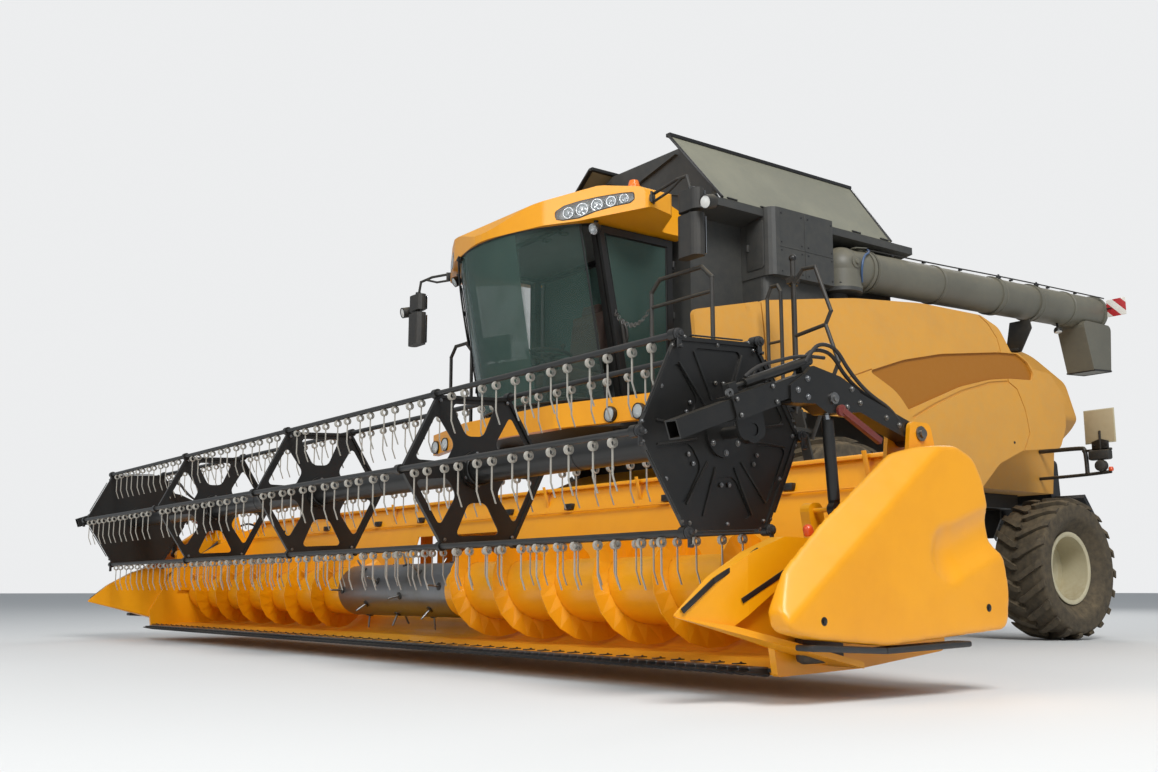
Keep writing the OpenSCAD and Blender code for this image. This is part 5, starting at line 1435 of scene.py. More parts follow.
@dataclass
class DriverSeat(Assembly):
    """A padded seat on a bellows base that stands for the plain CAD seat.

    Attributes:
        cushion: Size of the cushion.
        back: Size of the backrest.
        quilting: Where the sewn lines run across a pad, from its middle.
        crown: How far the pressure may lift the cover, in metres.
    """

    cushion: Place = (480.0, 500.0, 130.0)
    back: Place = (120.0, 480.0, 600.0)
    quilting: tuple[float, ...] = (-150.0, -50.0, 50.0, 150.0)
    crown: float = 0.014

    def pad(self, name: str, size: Place, place: Place, turn: Place) -> Piece:
        """Blows up a sewn cover over its foam.

        Args:
            name: Name of the piece.
            size: Size of the pad.
            place: Its middle.
            turn: Its turn in degrees.

        Returns:
            The pad.
        """
        obj = self.block(size, (-200, 0, 0), edge=28)
        self.alone(obj)
        remesh = obj.modifiers.new("remesh", "REMESH")
        remesh.mode, remesh.voxel_size = "VOXEL", 0.008
        bpy.ops.object.modifier_apply(modifier=remesh.name)
        # quilting lines hold the cover down while the pressure lifts the rest
        held = obj.vertex_groups.new(name="quilting")
        thick, _, along = sorted(range(3), key=size.__getitem__)
        for vertex in obj.data.vertices:
            quilted = any(abs(vertex.co[along] - line / 1000) < 0.005 for line in self.quilting)
            if quilted or vertex.co[thick] < -0.2 * size[thick] / 1000:
                held.add([vertex.index], 1.0, "REPLACE")
        rest = [vertex.co.copy() for vertex in obj.data.vertices]
        cloth = obj.modifiers.new("cloth", "CLOTH")
        settings = cloth.settings
        settings.use_pressure, settings.uniform_pressure_force = True, 4.0
        settings.vertex_group_mass, settings.quality = "quilting", 5
        settings.effector_weights.gravity = 0.0
        cloth.point_cache.frame_start, cloth.point_cache.frame_end = 1, 20
        for number in range(1, 21):
            bpy.context.scene.frame_set(number)
        self.alone(obj)
        bpy.ops.object.modifier_apply(modifier=cloth.name)
        bpy.context.scene.frame_set(1)
        for vertex, home in zip(obj.data.vertices, rest):
            move = vertex.co - home
            if move.length > self.crown:
                vertex.co = home + move * (self.crown / move.length)
        obj.vertex_groups.clear()
        obj.rotation_euler = [math.radians(a) for a in turn]
        obj.location = self.metres(place)
        self.alone(obj)
        bpy.ops.object.transform_apply()
        made = self.deliver(name, [obj], CLOTH, angle=60)
        return made

    def build(self) -> None:
        """Builds pads, shell, armrests, head piece and base."""
        cushion = self.pad("seat_cushion", self.cushion, (1722, 0, 2402), (0, -3, 0))
        self.pad("seat_back", self.back, (1518, 0, 2752), (0, -6, 0))
        self.pad("seat_head_piece", (90, 260, 130), (1478, 0, 3075), (0, -6, 0))
        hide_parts("seat")
        shell = [self.plate([(1478, 2320), (1940, 2320), (1950, 2345), (1500, 2350)], Plane.SIDE, -230, 230, 8),
                 self.beam((1455, 0, 2380), (1430, 0, 3020), 400, 14, 6),
                 *self.both([self.block((330, 60, 40), (1690, 275, 2560), edge=14),
                             self.beam((1530, 275, 2420), (1540, 275, 2560), 34, 20, 5)])]
        self.deliver("seat_shell", shell, PLASTIC)
        folds = [ring for z in range(1990, 2284, 42) for ring in ((150, z), (176, z + 21))]
        base = self.turned([(180, 1921), (180, 1985), *folds, (150, 2284), (170, 2318)], (1715, 0, 0), UP, 32)
        self.deliver("seat_bellows", [base], PLASTIC)


@dataclass
class CabTrim(Assembly):
    """What is seen through the cab's glass, and what hangs on its outside.

    Attributes:
        wheel_r: Radius of the steering wheel.
        hub: Top of the steering column.
        sill_z: Lower edge of the windscreen.
        foot_x: Middle of its curve at that height.
        lean: How far it leans forward for its height.
        screen_r: Radius of its curve.
        stretch: Stretch of the curve by the lean.
    """

    wheel_r: float = 205.0
    hub: Place = (1978.0, 0.0, 2615.0)
    sill_z: float = 2080.0
    foot_x: float = 885.2
    lean: float = 0.1858
    screen_r: float = 1500.0
    stretch: float = 1.0171

    def screen(self, y: float, z: float, off: float = 0.0) -> Place:
        """Gives a place on the curved and leaning windscreen.

        Args:
            y: Place across.
            z: Height.
            off: Distance ahead of the glass.

        Returns:
            The place.
        """
        bulge = self.stretch * math.sqrt(self.screen_r**2 - y * y)
        return (self.foot_x + (z - self.sill_z) * self.lean + bulge + off, y, z)

    def wheel(self) -> None:
        """Builds the steering wheel with its column cover."""
        axis = Vector((-70, 0, 690)).normalized()
        bpy.ops.mesh.primitive_torus_add(major_segments=48, minor_segments=10, major_radius=self.wheel_r / 1000,
                                         minor_radius=0.015)
        rim = self.put(bpy.context.object, self.hub, axis)
        hub = self.turned([(60, -16), (62, -4), (52, 12), (20, 18)], self.hub, axis, 24)
        x, y, z = self.hub
        spokes = self.spun(self.beam((x + 50, y, z + 4), (x + 198, y, z + 19), 34, 10, 4), 3, self.hub, axis)
        knob = self.turned([(9, 0), (9, 30), (19, 36), (22, 52), (14, 64), (4, 68)], (x, self.wheel_r, z), axis, 16)
        cover = self.turned([(95, 1925), (88, 1990), (60, 2120), (52, 2300), (60, 2420), (66, 2520), (44, 2560)],
                            (2046, 0, 0), (-0.1, 0, 1), 24)
        self.deliver("steering_wheel", [rim, hub, *spokes, knob], PLASTIC)
        self.deliver("steering_column_cover", [cover], PLASTIC)
        pedals = [self.block((26, 90, 120), (2270, y, 2010), (0, -35, 0), 8) for y in (-180, -60, 160)]
        self.deliver("cab_pedals", pedals, BLACK)

    def console(self) -> None:
        """Builds the console's top, lever, screen and the rear shelf."""
        outline = [(1440, 2452), (1440, 2500), (1700, 2520), (1890, 2490), (1890, 2452)]
        top = self.plate(outline, Plane.SIDE, -585, -345, 14)
        rest = self.block((300, 110, 46), (1590, -430, 2556), (0, -4, 0), 18)
        lever = self.turned([(38, 0), (30, 14), (13, 30), (12, 92), (26, 110), (34, 140), (30, 172), (12, 184)],
                            (1810, -430, 2505), (0.18, 0, 1), 20)
        keys = self.grid(self.block((22, 16, 8), (1700, -520, 2522), edge=3), (4, 3), (34, 24))
        self.deliver("console_top", [top, rest], PLASTIC)
        self.deliver("console_lever", [lever], PLASTIC)
        self.deliver("console_keys", keys, LAMP_GREY)
        case = self.block((46, 300, 230), (2130, -640, 2760), (0, 8, 24), 14)
        arm = self.hose([(1860, -540, 2500), (2000, -600, 2520), (2130, -650, 2600), (2140, -642, 2700)], 14)
        face = self.block((6, 262, 190), (2107, -630, 2763), (0, 8, 24), 3)
        self.deliver("monitor_case", [case, arm], PLASTIC)
        self.deliver("monitor_face", [face], DARK_GLASS)
        shelf = [self.block((60, 1820, 24), (1432, 0, 2712), edge=8),
                 self.block((8, 1840, 560), (1404, 0, 2410), edge=3)]
        self.deliver("cab_rear_lining", shelf, LINING)

    def lining(self) -> None:
        """Builds the headliner, floor mat and the speaker and vent rings."""
        brow = [self.screen(y, 3560, -120)[:2] for y in range(-840, 841, 280)]
        head = self.plate([(1440, -940), (1980, -940), *brow, (1980, 940), (1440, 940)], Plane.PLAN, 3590, 3608, 8)
        self.deliver("cab_headliner", [head], LINING)
        toe = [self.screen(y, self.sill_z, -100)[:2] for y in range(-900, 901, 300)]
        mat = self.plate([(1410, -960), (1900, -960), *toe, (1900, 960), (1410, 960)], Plane.PLAN, 1921, 1929, 3)
        ribs = self.row(self.block((14, 560, 5), (1990, 0, 1930), edge=1.5), 9, (26, 0, 0))
        self.deliver("cab_floor_mat", [mat, *ribs], PLASTIC)
        rows = [(44, 0), (44, -10), (36, -14), (32, -8), (30, 0), (44, 0)]
        vents = [self.turned(rows, (2200, y, 3590), UP, 24) for y in (-520, -260, 260, 520)]
        blind = self.drum(26, 1300, (2330, 0, 3572), LEFT, 4, 20)
        self.deliver("cab_vents", [*vents, blind], PLASTIC)

    def wipers(self) -> None:
        """Builds the parallel wiper arms at the right edge of the windscreen."""
        run = [(-900 + i * 8, 2260 + i * 120) for i in range(10)]
        routes = ([(-560, 3545, 34), (-640, 3420, 44), (-760, 3100, 42), (-868, 2800, 30)],
                  [(-620, 3545, 30), (-700, 3400, 40), (-800, 3060, 38), (-860, 2860, 28)])
        blade = [self.hose([self.screen(y, z, 14) for y, z in run], 7, 6)]
        clips = [self.block((14, 12, 46), self.screen(y, z, 22), edge=3) for y, z in run[1::2]]
        arms = [self.hose([self.screen(*spot) for spot in route], radius, 8) for route, radius in zip(routes, (9, 6))]
        rows = [(22, -26), (22, 8), (16, 12), (16, 24), (8, 27)]
        pivots = [self.turned(rows, self.screen(y, 3538, 18), (1, 0, 0.2), 16) for y in (-560, -620)]
        self.deliver("windscreen_wiper", blade + clips + arms + pivots, BLACK)

    def edges(self) -> None:
        """Builds the black borders of the glass."""
        side = [self.hose([self.screen(945, z, 2) for z in (2086, 2600, 3100, 3552)], 9, 6, False)]
        level = [self.hose([self.screen(y, z, 1) for y in range(-940, 941, 94)], 10, 6, False) for z in (2090, 3546)]
        self.deliver("windscreen_seals", self.both(side) + level, BLACK)
        rear = ((-915, 2706), (915, 2706), (915, 3552), (-915, 3552), (-915, 2706))
        right = ((1480, 2090), (1912, 2090), (2186, 3552), (1480, 3552), (1480, 2090))
        seals = [self.hose([(1386, y, z) for y, z in rear], 8, 6, False),
                 self.hose([(x, -1012, z) for x, z in right], 8, 6, False)]
        self.deliver("window_seals", seals, BLACK)

    def door(self) -> None:
        """Builds the door's seal, handle, latch and inner grab bar."""
        run = ((1484, 2154), (1902, 2154), (2156, 3462), (1484, 3462), (1484, 2154))
        seal = [self.hose([(x, 1046, z) for x, z in run], 6, 6, False)]
        case = self.block((46, 30, 200), (1978, 1072, 2640), (0, 10, 0), 10)
        grip = self.hose([(1962, 1074, 2560), (1966, 1112, 2580), (1990, 1112, 2700), (1994, 1074, 2720)], 10, 8)
        self.deliver("door_seal", seal, BLACK, "door")
        self.deliver("door_handle", [case, grip], PLASTIC, "door")
        bar = self.hose([(1510, 1016, 2500), (1560, 976, 2500), (1840, 976, 2560), (1890, 1016, 2562)], 13, 10)
        self.deliver("door_grab_bar", [bar], PLASTIC, "door")
        latch = [self.block((60, 12, 90), (2030, 1021, 2690), (0, 10, 0), 4),
                 self.drum(9, 34, (2034, 1034, 2690), LEFT, 2, 12)]
        self.deliver("door_latch_plate", latch, STEEL)

    def build(self) -> None:
        """Builds every piece of the cab."""
        for step in (self.wheel, self.console, self.lining, self.wipers, self.edges, self.door):
            step()


class MirrorTrim(Assembly):
    """Glass, clamps and lamp rings of the mirrors."""

    def build(self) -> None:
        """Builds the pieces of both mirrors."""
        glass = [self.plate([(2008, 3400), (2212, 3400), (2212, 3545), (2008, 3545)], Plane.FRONT, 2098, 2103, 2),
                 self.plate([(2010, 3045), (2214, 3045), (2214, 3340), (2010, 3340)], Plane.FRONT, 2094, 2099, 2)]
        self.deliver("mirror_glasses", self.both(glass), MIRROR)
        clamps = [self.turned([(30, 0), (30, 26), (26, 30), (18, 32)], (2150, 2110, 3558), UP, 20),
                  self.block((46, 40, 60), (2082, 1572, 3655), (0, 0, 29), 8)]
        clamps += [self.bolt((2098, 1590, z), (0.875, 0.484, 0), 8) for z in (3685, 3625)]
        self.deliver("mirror_clamps", self.both(clamps), BLACK)
        axis = Vector((80, 10, -20)).normalized()
        face = (2210, 2330, 3400)
        ring = self.turned([(54, -2), (56, 0), (56, 5), (50, 8), (46, 3), (46, 0), (54, -2)], face, axis, 32)
        lens = self.turned([(46, 0), (46, 2), (30, 6), (3, 9)], face, axis, 32)
        self.deliver("mirror_lamp_rings", self.both([ring]), BLACK)
        self.deliver("mirror_lamp_lenses", self.both([lens]), LENS)


# ---------------------------------------------------------------- tank, tube and body


@dataclass
class TankTrim(Assembly):
    """Edges, ties and seams of the grain tank's covers and of the side box.

    Attributes:
        low_y: Lower edge of the left cover.
        low_z: Height of the lower edges.
        top_y: Upper edge of the left cover.
        top_z: Height of the upper edges.
        right_y: Upper edge of the right cover.
    """

    low_y: float = 1430.0
    low_z: float = 3870.0
    top_y: float = 1000.0
    top_z: float = 4520.0
    right_y: float = -130.0

    def covers(self) -> None:
        """Adds the channels on the covers' edges, their straps and hinges."""
        channels, hinges = [], []
        for low, top in ((self.low_y, self.top_y), (-self.low_y, self.right_y)):
            channels += [self.beam((1402, top, self.top_z + 12), (-1040, top, self.top_z + 12), 56, 34, 5),
                         self.beam((1158, low, self.low_z + 16), (1396, top, self.top_z + 10), 44, 26, 5),
                         self.beam((-1106, low, self.low_z + 16), (-1036, top, self.top_z + 10), 44, 26, 5)]
            hinge = self.drum(9, 120, (1050, low + math.copysign(8, low), self.low_z + 18), AHEAD, 3, 14)
            hinges += self.row(hinge, 6, (-410, 0, 0))
        self.deliver("tank_cover_channels", channels, BLACK)
        self.deliver("tank_cover_hinges", hinges, BLACK)
        ends = []
        for x in (1167, -1065):
            ends += [self.beam((x, 1180, 3930), (x, -150, 4440), 60, 8, 2),
                     self.beam((x, -1180, 3930), (x, 860, 4440), 60, 8, 2),
                     self.beam((x, -1380, 3876), (x, 1380, 3876), 46, 12, 3)]
        self.deliver("tank_end_braces", ends, TANK)
        tie = [self.beam((1310, 1440, 3830), (1180, 1360, 3960), 40, 10, 3), self.bolt((1316, 1446, 3834), AHEAD, 10)]
        self.deliver("tank_cover_ties", tie, BLACK)

    def box(self) -> None:
        """Adds the hatch and seams of the side box and the ribs, steps and window of the tank's front."""
        outline = [(1240, 3330), (1240, 3770), (1430, 3770), (1450, 3750), (1450, 3350), (1430, 3330)]
        hatch = [self.plate(outline, Plane.FRONT, 680.4, 689, 3), self.block((26, 22, 70), (696, 1262, 3540), edge=5)]
        seam = [self.plate([(250, 3275), (250, 3860), (262, 3860), (262, 3275)], Plane.SIDE, 1550.4, 1554, 1.5),
                self.plate([(-110, 3520), (-110, 3532), (590, 3532), (590, 3520)], Plane.SIDE, 1550.4, 1554, 1.5)]
        rivets = [self.bolt((x, 1550.5, z), LEFT, 6) for x in (-95, 215, 300, 560) for z in (3300, 3490, 3565, 3830)]
        self.deliver("side_box_hatch", hatch + seam, TANK)
        self.deliver("side_box_rivets", rivets, DARK_STEEL)
        front = [self.block((14, 1900, 60), (1307, 0, z), edge=4) for z in (2900, 3330)]
        grip = ((1302, 3480), (1370, 3500), (1370, 3720), (1302, 3740))
        front += [self.hose([(x, y, z) for x, z in grip], 12, 8) for y in (-300, 300)]
        self.deliver("tank_front_ribs", front, TANK)
        port = [self.plate([(-240, 3420), (-240, 3700), (240, 3700), (240, 3420)], Plane.FRONT, 1301, 1308, 3)]
        self.deliver("tank_window_frame", port, BLACK)
        glass = [self.plate([(-215, 3445), (-215, 3675), (215, 3675), (215, 3445)], Plane.FRONT, 1309, 1313, 1)]
        self.deliver("tank_window_pane", glass, DARK_GLASS)

    def build(self) -> None:
        """Builds every piece of the tank."""
        self.covers()
        self.box()


@dataclass
class TubeTrim(Assembly):
    """Bolts, bands, hoses and lamp of the unloading tube, laid out along its axis.

    Attributes:
        start: Middle of the elbow.
        rise: Degrees that the tube climbs.
        radius: Its radius.
    """

    start: Place = (-420.0, 1370.0, 3520.3)
    rise: float = 2.0
    radius: float = 190.0

    def at(self, along: float, up: float = 0.0, across: float = 0.0) -> Vector:
        """Gives a place in the tube's frame.

        Args:
            along: Distance from the elbow.
            up: Distance above the axis.
            across: Distance to the left.

        Returns:
            The place.
        """
        turn = math.radians(self.rise)
        run, rise = Vector((-math.cos(turn), 0, math.sin(turn))), Vector((math.sin(turn), 0, math.cos(turn)))
        return Vector(self.start) + run * along + rise * up + Vector((0, across, 0))

    def band(self, along: float, width: float, out: float) -> Piece:
        """Models a band round the tube with turned-up edges.

        Args:
            along: Where it starts.
            width: Its width.
            out: Its outer radius beyond the tube.

        Returns:
            The band.
        """
        rows = [(0.5, 0), (out, 0), (out, 8), (out * 0.6, 11), (out * 0.6, width - 11), (out, width - 8), (out, width),
                (0.5, width), (0.5, 0)]
        rows = [(self.radius + over, height) for over, height in rows]
        return self.turned(rows, self.at(along), self.at(1) - self.at(0), 56)

    def build(self) -> None:
        """Builds every piece of the tube."""
        axis = (self.at(1) - self.at(0)).normalized()
        bands = [self.band(318, 30, 16), self.band(1350, 34, 9), self.band(2340, 80, 16),
                 self.band(3040, 80, 16), self.band(3700, 34, 9)]
        self.deliver("tube_bands", bands, GREY_TUBE, "unloader")
        ring = self.bolt(self.at(300, self.radius + 4), axis, 8)
        bolts = self.spun(ring, 16, self.at(0), axis)
        for along in (2380, 3080):
            bolts += [self.beam(self.at(along, 170, 118), self.at(along, 196, 128), 60, 24, 5),
                      self.bolt(self.at(along, 200, 122), (0, 1, 1), 9)]
        for angle in (40, 140, 220, 320):
            out = Matrix.Rotation(math.radians(angle), 3, "Z") @ Vector((self.radius, 0, 0))
            bolts.append(self.bolt(Vector((*self.start[:2], 3330)) + out, UP, 10))
        self.deliver("tube_bolts", bolts, DARK_STEEL, "unloader")
        ears = [self.drum(radius, length, self.at(0, 20, side * across), LEFT, 3, sides)
                for side in (1, -1) for radius, length, across, sides in ((58, 12, 196, 32), (24, 30, 203.84, 12))]
        ears.append(self.beam(self.at(60, 176, 120), self.at(250, 200, 100), 60, 10, 3))
        self.deliver("tube_elbow_ears", ears, GREY_TUBE, "unloader")
        hose = [(120, -150, 150), (40, -60, 216), (90, 90, 214), (240, 150, 170), (330, 205, 70)]
        wire = [(330, 205, 70), (1300, 206, 60), (2400, 214, 60), (3100, 214, 60), (4200, 206, 60), (4330, 150, 190)]
        self.deliver("tube_hose", [self.hose([self.at(*spot) for spot in hose], 11)], HOSE_BLUE, "unloader")
        self.deliver("tube_wire", [self.hose([self.at(*spot) for spot in wire], 7, 6)], RUBBER_HOSE, "unloader")
        clips = [self.block((30, 34, 18), self.at(a, 196, 60), edge=3) for a in (700, 1200, 1800, 2700, 3400, 3950)]
        self.deliver("tube_clips", clips, DARK_STEEL, "unloader")
        mount, look = self.at(3560, -232, 40), Vector((0.1, 0.2, -1))
        lamp = [self.turned([(12, 0), (34, 10), (46, 34), (46, 58), (40, 60)], mount, look, 24),
                self.beam(self.at(3560, -186, 40), self.at(3560, -240, 40), 26, 12, 3)]
        lens = self.turned([(40, 0), (36, 6), (20, 10), (3, 12)], mount + look.normalized() * 60, look, 24)
        self.deliver("tube_lamp", lamp, BLACK, "unloader")
        self.deliver("tube_lamp_lens", [lens], LENS, "unloader")
        end = self.spun(self.bolt(self.at(4362, self.radius + 4), axis, 8), 12, self.at(0), axis)
        rows = [(178, 0), (174, 10), (120, 22), (60, 26), (56, 40), (20, 44)]
        cap = self.turned(rows, self.at(4361), axis, 48)
        self.deliver("tube_end_bolts", end, DARK_STEEL, "unloader")
        self.deliver("tube_end_cap", [cap], GREY_TUBE, "unloader")
        near, far = (-4476, 2964.3), (-4822, 2984.3)
        corners = ((far, 168), (near, 168), (near, -168), (far, -168), (far, 168))
        rim = [(x, self.start[1] + y, z) for (x, z), y in corners]
        sign = self.plate([(1572, 3600), (1572, 3800), (1800, 3800), (1800, 3600)], Plane.FRONT, -4766, -4760, 2)
        self.deliver("tube_end_board", [sign], STRIPES, "unloader")
        bracket = self.beam((-4756, 1552, 3700), (-4756, 1640, 3700), 30, 8, 2)
        self.deliver("tube_end_bracket", [bracket], TUBE_BLACK, "unloader")
        self.deliver("spout_lip", [self.hose(rim, 11, 8, False)], RUBBER_HOSE, "unloader")
        outline = [(1180, 3060), (1230, 3300), (1250, 3400), (1490, 3400), (1510, 3300), (1370, 3060)]
        saddle = [self.plate(outline, Plane.FRONT, -3330, -3310, 4),
                  self.beam((-3320, 1170, 3090), (-3320, 1350, 3090), 60, 30, 6)]
        self.deliver("tube_rest", saddle, TUBE_BLACK)


@dataclass
class BodyTrim(Assembly):
    """Latches, louvres, exhaust and boards of the body's sides and rear.

    Attributes:
        crown_z: Height of the side panels' crown axis.
        crown_y: Place of the left panel's crown axis.
        crown_r: Radius of the crown.
        screen: Middle of the dust screen's face.
    """

    crown_z: float = 2300.0
    crown_y: float = -3400.0
    crown_r: float = 5000.0
    screen: Place = (-2180.0, -1180.0, 2830.0)

    def face(self, z: float) -> float:
        """Gives the left panel's outer face.

        Args:
            z: Height.

        Returns:
            The face's y.
        """
        return self.crown_y + math.sqrt(self.crown_r**2 - (z - self.crown_z) ** 2)

    def panels(self) -> None:
        """Adds locks of the side panels and steps on the fairings."""
        rows = [(14, 0), (14, 3), (11, 5), (8, 3), (3, 3)]
        locks = [self.turned(rows, (x, self.face(z), z), (0, 1, (z - self.crown_z) / self.crown_r), 24)
                 for x, z in ((-900, 1990), (-200, 2080), (-2750, 2010))]
        far = self.across(locks)
        self.deliver("panel_locks_left", locks, BLACK, "panel_left")
        self.deliver("panel_locks_right", far, BLACK, "panel_right")
        self.deliver("fairing_steps", self.both([self.block((340, 34, 30), (1200, 1700, 1975), edge=6)]), PLASTIC)

    def engine(self) -> None:
        """Adds the deck louvres, exhaust, dust screen, deck rails and the hood's side grilles."""
        slats = self.row(self.block((44, 640, 12), (-2780, 520, 3247), (0, 24, 0), 3), 18, (62, 0, 0))
        sides = [self.block((1150, 26, 22), (-2250, y, 3247), edge=5) for y in (190, 850)]
        self.deliver("deck_louvres", slats + sides, BLACK)
        rows = [(80, 3236), (80, 3262), (64, 3270), (64, 3560), (70, 3564), (70, 3590), (58, 3590), (58, 3400),
                (20, 3398)]
        pipe = self.turned(rows, (-2650, -420, 0), UP, 32)
        self.deliver("exhaust_pipe", [pipe], STEEL)
        x, y, z = self.screen
        ring = self.turned([(400, 0), (430, 6), (430, 60), (404, 70), (392, 62), (392, 0), (400, 0)], self.screen,
                           (0, -1, 0), 64)
        mesh = self.spun(self.beam((x + 60, y - 42, z), (x + 396, y - 42, z), 8, 10, 2), 40, self.screen)
        hoops = [self.turned([(r, 0), (r + 6, 2), (r + 6, 10), (r, 10), (r, 0)], (x, y - 37, z), (0, -1, 0), 64)
                 for r in (110, 180, 250, 320)]
        disc = self.turned([(396, 0), (396, 12), (70, 14), (66, 52), (40, 56)], (x, y - 1, z), (0, -1, 0), 48)
        self.deliver("dust_screen", [ring, *mesh, *hoops], BLACK)
        self.deliver("dust_screen_back", [disc], DARK_STEEL)
        run = ((-1500, 3250), (-1500, 3700), (-1600, 3780), (-2800, 3780), (-2880, 3700), (-2880, 3250))
        rails = [self.hose([(x, -1080, z) for x, z in run], 17, 10)]
        rails += [self.hose([(x, -1080, 3250), (x, -1080, 3778)], 14, 8, False) for x in (-1950, -2400)]
        self.deliver("deck_rails", rails, TUBE_BLACK)
        slots = self.row(self.block((300, 14, 26), (-2000, 1183, 2600), (18, 0, 0), 4), 8, (0, 0, 60))
        sheet = self.block((340, 12, 540), (-2000, 1180, 2810), edge=5)
        self.deliver("hood_side_grille", self.both([sheet]) + slots, BLACK)

    def rear(self) -> None:
        """Adds the rear door, its grips, louvres, hood seams and chopper bolts."""
        outline = [(-700, 2420), (-760, 2560), (-760, 2780), (-700, 2820), (700, 2820), (760, 2780), (760, 2560),
                   (700, 2420)]
        door = [self.plate(outline, Plane.FRONT, -4708, -4698, 4)]
        grip = ((-4712, 2470), (-4752, 2480), (-4740, 2570), (-4700, 2580))
        grips = [self.hose([(x, y, z) for x, z in grip], 11, 8) for y in (-420, 420)]
        self.deliver("rear_door", door, TANK)
        self.deliver("rear_door_grips", grips, BLACK)
        slats = self.row(self.block((14, 900, 34), (-4692, 0, 2080), (0, 24, 0), 4), 6, (3.4, 0, -46))
        self.deliver("rear_louvres", slats, BLACK)
        seams = [self.plate([(-3560, 2450), (-3560, 3080), (-3548, 3080), (-3548, 2450)], Plane.SIDE, 1180.4, 1186, 2),
                 self.plate([(-4300, 2450), (-4300, 2700), (-4288, 2700), (-4288, 2450)], Plane.SIDE, 1180.4, 1186, 2)]
        seams += [self.bolt((x, 1180.5, z), LEFT, 8) for x in (-3100, -3480, -3640, -4180) for z in (2500, 2640)]
        self.deliver("rear_hood_seams", self.both(seams), TANK)
        edge = [self.bolt((-4820, y, 1850), (-1, 0, 0.1), 9) for y in (-600, -300, 0, 300, 600)]
        self.deliver("chopper_bolts", edge, STEEL)

    def outriggers(self) -> None:
        """Builds the rear lamp arms: boards, tubes, brackets and lamps that stand for the plain CAD ones."""
        x = -4380
        board = self.plate([(1420, 2120), (1420, 2500), (1780, 2500), (1780, 2120)], Plane.FRONT, x - 5, x + 5, 4)
        plain = self.plate([(1432, 2132), (1432, 2488), (1768, 2488), (1768, 2132)], Plane.FRONT, x + 5.2, x + 8, 1)
        tubes = [self.hose([(x, 849, 2090), (x, 1360, 2090), (x, 1420, 2070), (x, 1420, 1800)], 24, 12),
                 self.hose([(x, 834, 1780), (x, 1400, 1780), (x, 1700, 1800)], 19, 12),
                 self.beam((x, 1600, 1790), (x, 1600, 2260), 44, 24, 5),
                 self.beam((x, 1380, 2050), (x, 1720, 2050), 40, 26, 5)]
        outline = [(1500, 1960), (1500, 2140), (1600, 2170), (1700, 2140), (1700, 1960)]
        slot = [self.plate(outline, Plane.FRONT, x + 8, x + 20, 4),
                self.bolt((x + 20, 1530, 2100), AHEAD, 9), self.bolt((x + 20, 1670, 2100), AHEAD, 9)]
        unit = [self.turned([(40, 0), (62, 14), (66, 40), (60, 86), (40, 96)], (x - 30, 1600, 1870), AHEAD, 32),
                self.block((90, 250, 110), (x + 10, 1590, 1990), edge=22)]
        lens = [self.block((12, 110, 70), (x - 46, 1540, 1990), edge=5)]
        amber = [self.block((12, 80, 70), (x - 46, 1650, 1990), edge=5),
                 self.turned([(22, 0), (27, 10), (27, 30), (20, 44), (4, 50)], (x + 5, 1700, 1806), UP, 24)]
        made = self.deliver("outrigger_boards", self.both([board]), CREAM)
        self.deliver("outrigger_board_faces", self.both([plain]), BOARD)
        self.deliver("outrigger_tubes", self.both(tubes), TUBE_BLACK)
        self.deliver("outrigger_brackets", self.both(slot), BLACK)
        self.deliver("outrigger_lamp_cases", self.both(unit), PLASTIC)
        self.deliver("outrigger_tail_lenses", self.both(lens), RED)
        self.deliver("outrigger_amber_lenses", self.both(amber), ORANGE)
        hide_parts("lamp_arms")

    def build(self) -> None:
        """Builds every piece of the body."""
        for step in (self.panels, self.engine, self.rear, self.outriggers):
            step()


class WalkwayTrim(Assembly):
    """Tread, fittings and chain of the platform and ladder."""

    def build(self) -> None:
        """Builds every piece."""
        stud = self.turned([(13, 0), (13, 3), (9, 6), (9, 1.5)], (925, 1090, 1960), UP, 8)
        self.deliver("platform_tread", self.grid(stud, (16, 15), (70, 56)), TUBE_BLACK)
        kick = [self.beam((890, 1977, 1985), (2130, 1977, 1985), 8, 60, 3)]
        feet = [self.drum(30, 12, (2058, 1544, 1966), UP, 3, 20), self.drum(30, 12, (2100, 1960, 1966), UP, 3, 20)]
        balls = [self.turned([(20, 0), (30, 14), (33, 30), (27, 48), (12, 60), (3, 63)], (960, 2040, 3208), UP, 24)]
        self.deliver("platform_kick_plate", kick, TUBE_BLACK)
        self.deliver("rail_feet", feet + balls, BLACK)
        chain = []
        a, b = Vector((2062, 1014, 2860)), Vector((2100, 1556, 2740))
        count = 19
        for i in range(count):
            share = (i + 0.5) / count
            place = a.lerp(b, share) - Vector((0, 0, 150 * 4 * share * (1 - share)))
            bpy.ops.mesh.primitive_torus_add(major_segments=14, minor_segments=6, major_radius=0.0135,
                                             minor_radius=0.0032)
            link = bpy.context.object
            link.scale = (1, 1.5, 1)
            bpy.ops.object.transform_apply()
            chain.append(self.put(link, place, (1, 0.2, 0.3) if i % 2 else (0.1, -0.3, 1)))
        chain.append(self.bolt(a + Vector((0, 4, 0)), LEFT, 9))
        self.deliver("platform_chain", chain, STEEL)
        bars = []
        for i in range(5):
            share = 0.12 + i * 0.21
            y, z = 2100 + 370 * share, 1940 - 1460 * share
            bars += self.row(self.block((450, 10, 8), (1255, y - 84, z + 17), edge=2), 7, (0, 28, 0))
        self.deliver("ladder_tread_bars", bars, TUBE_BLACK, "boarding_ladder")


# ---------------------------------------------------------------- studio


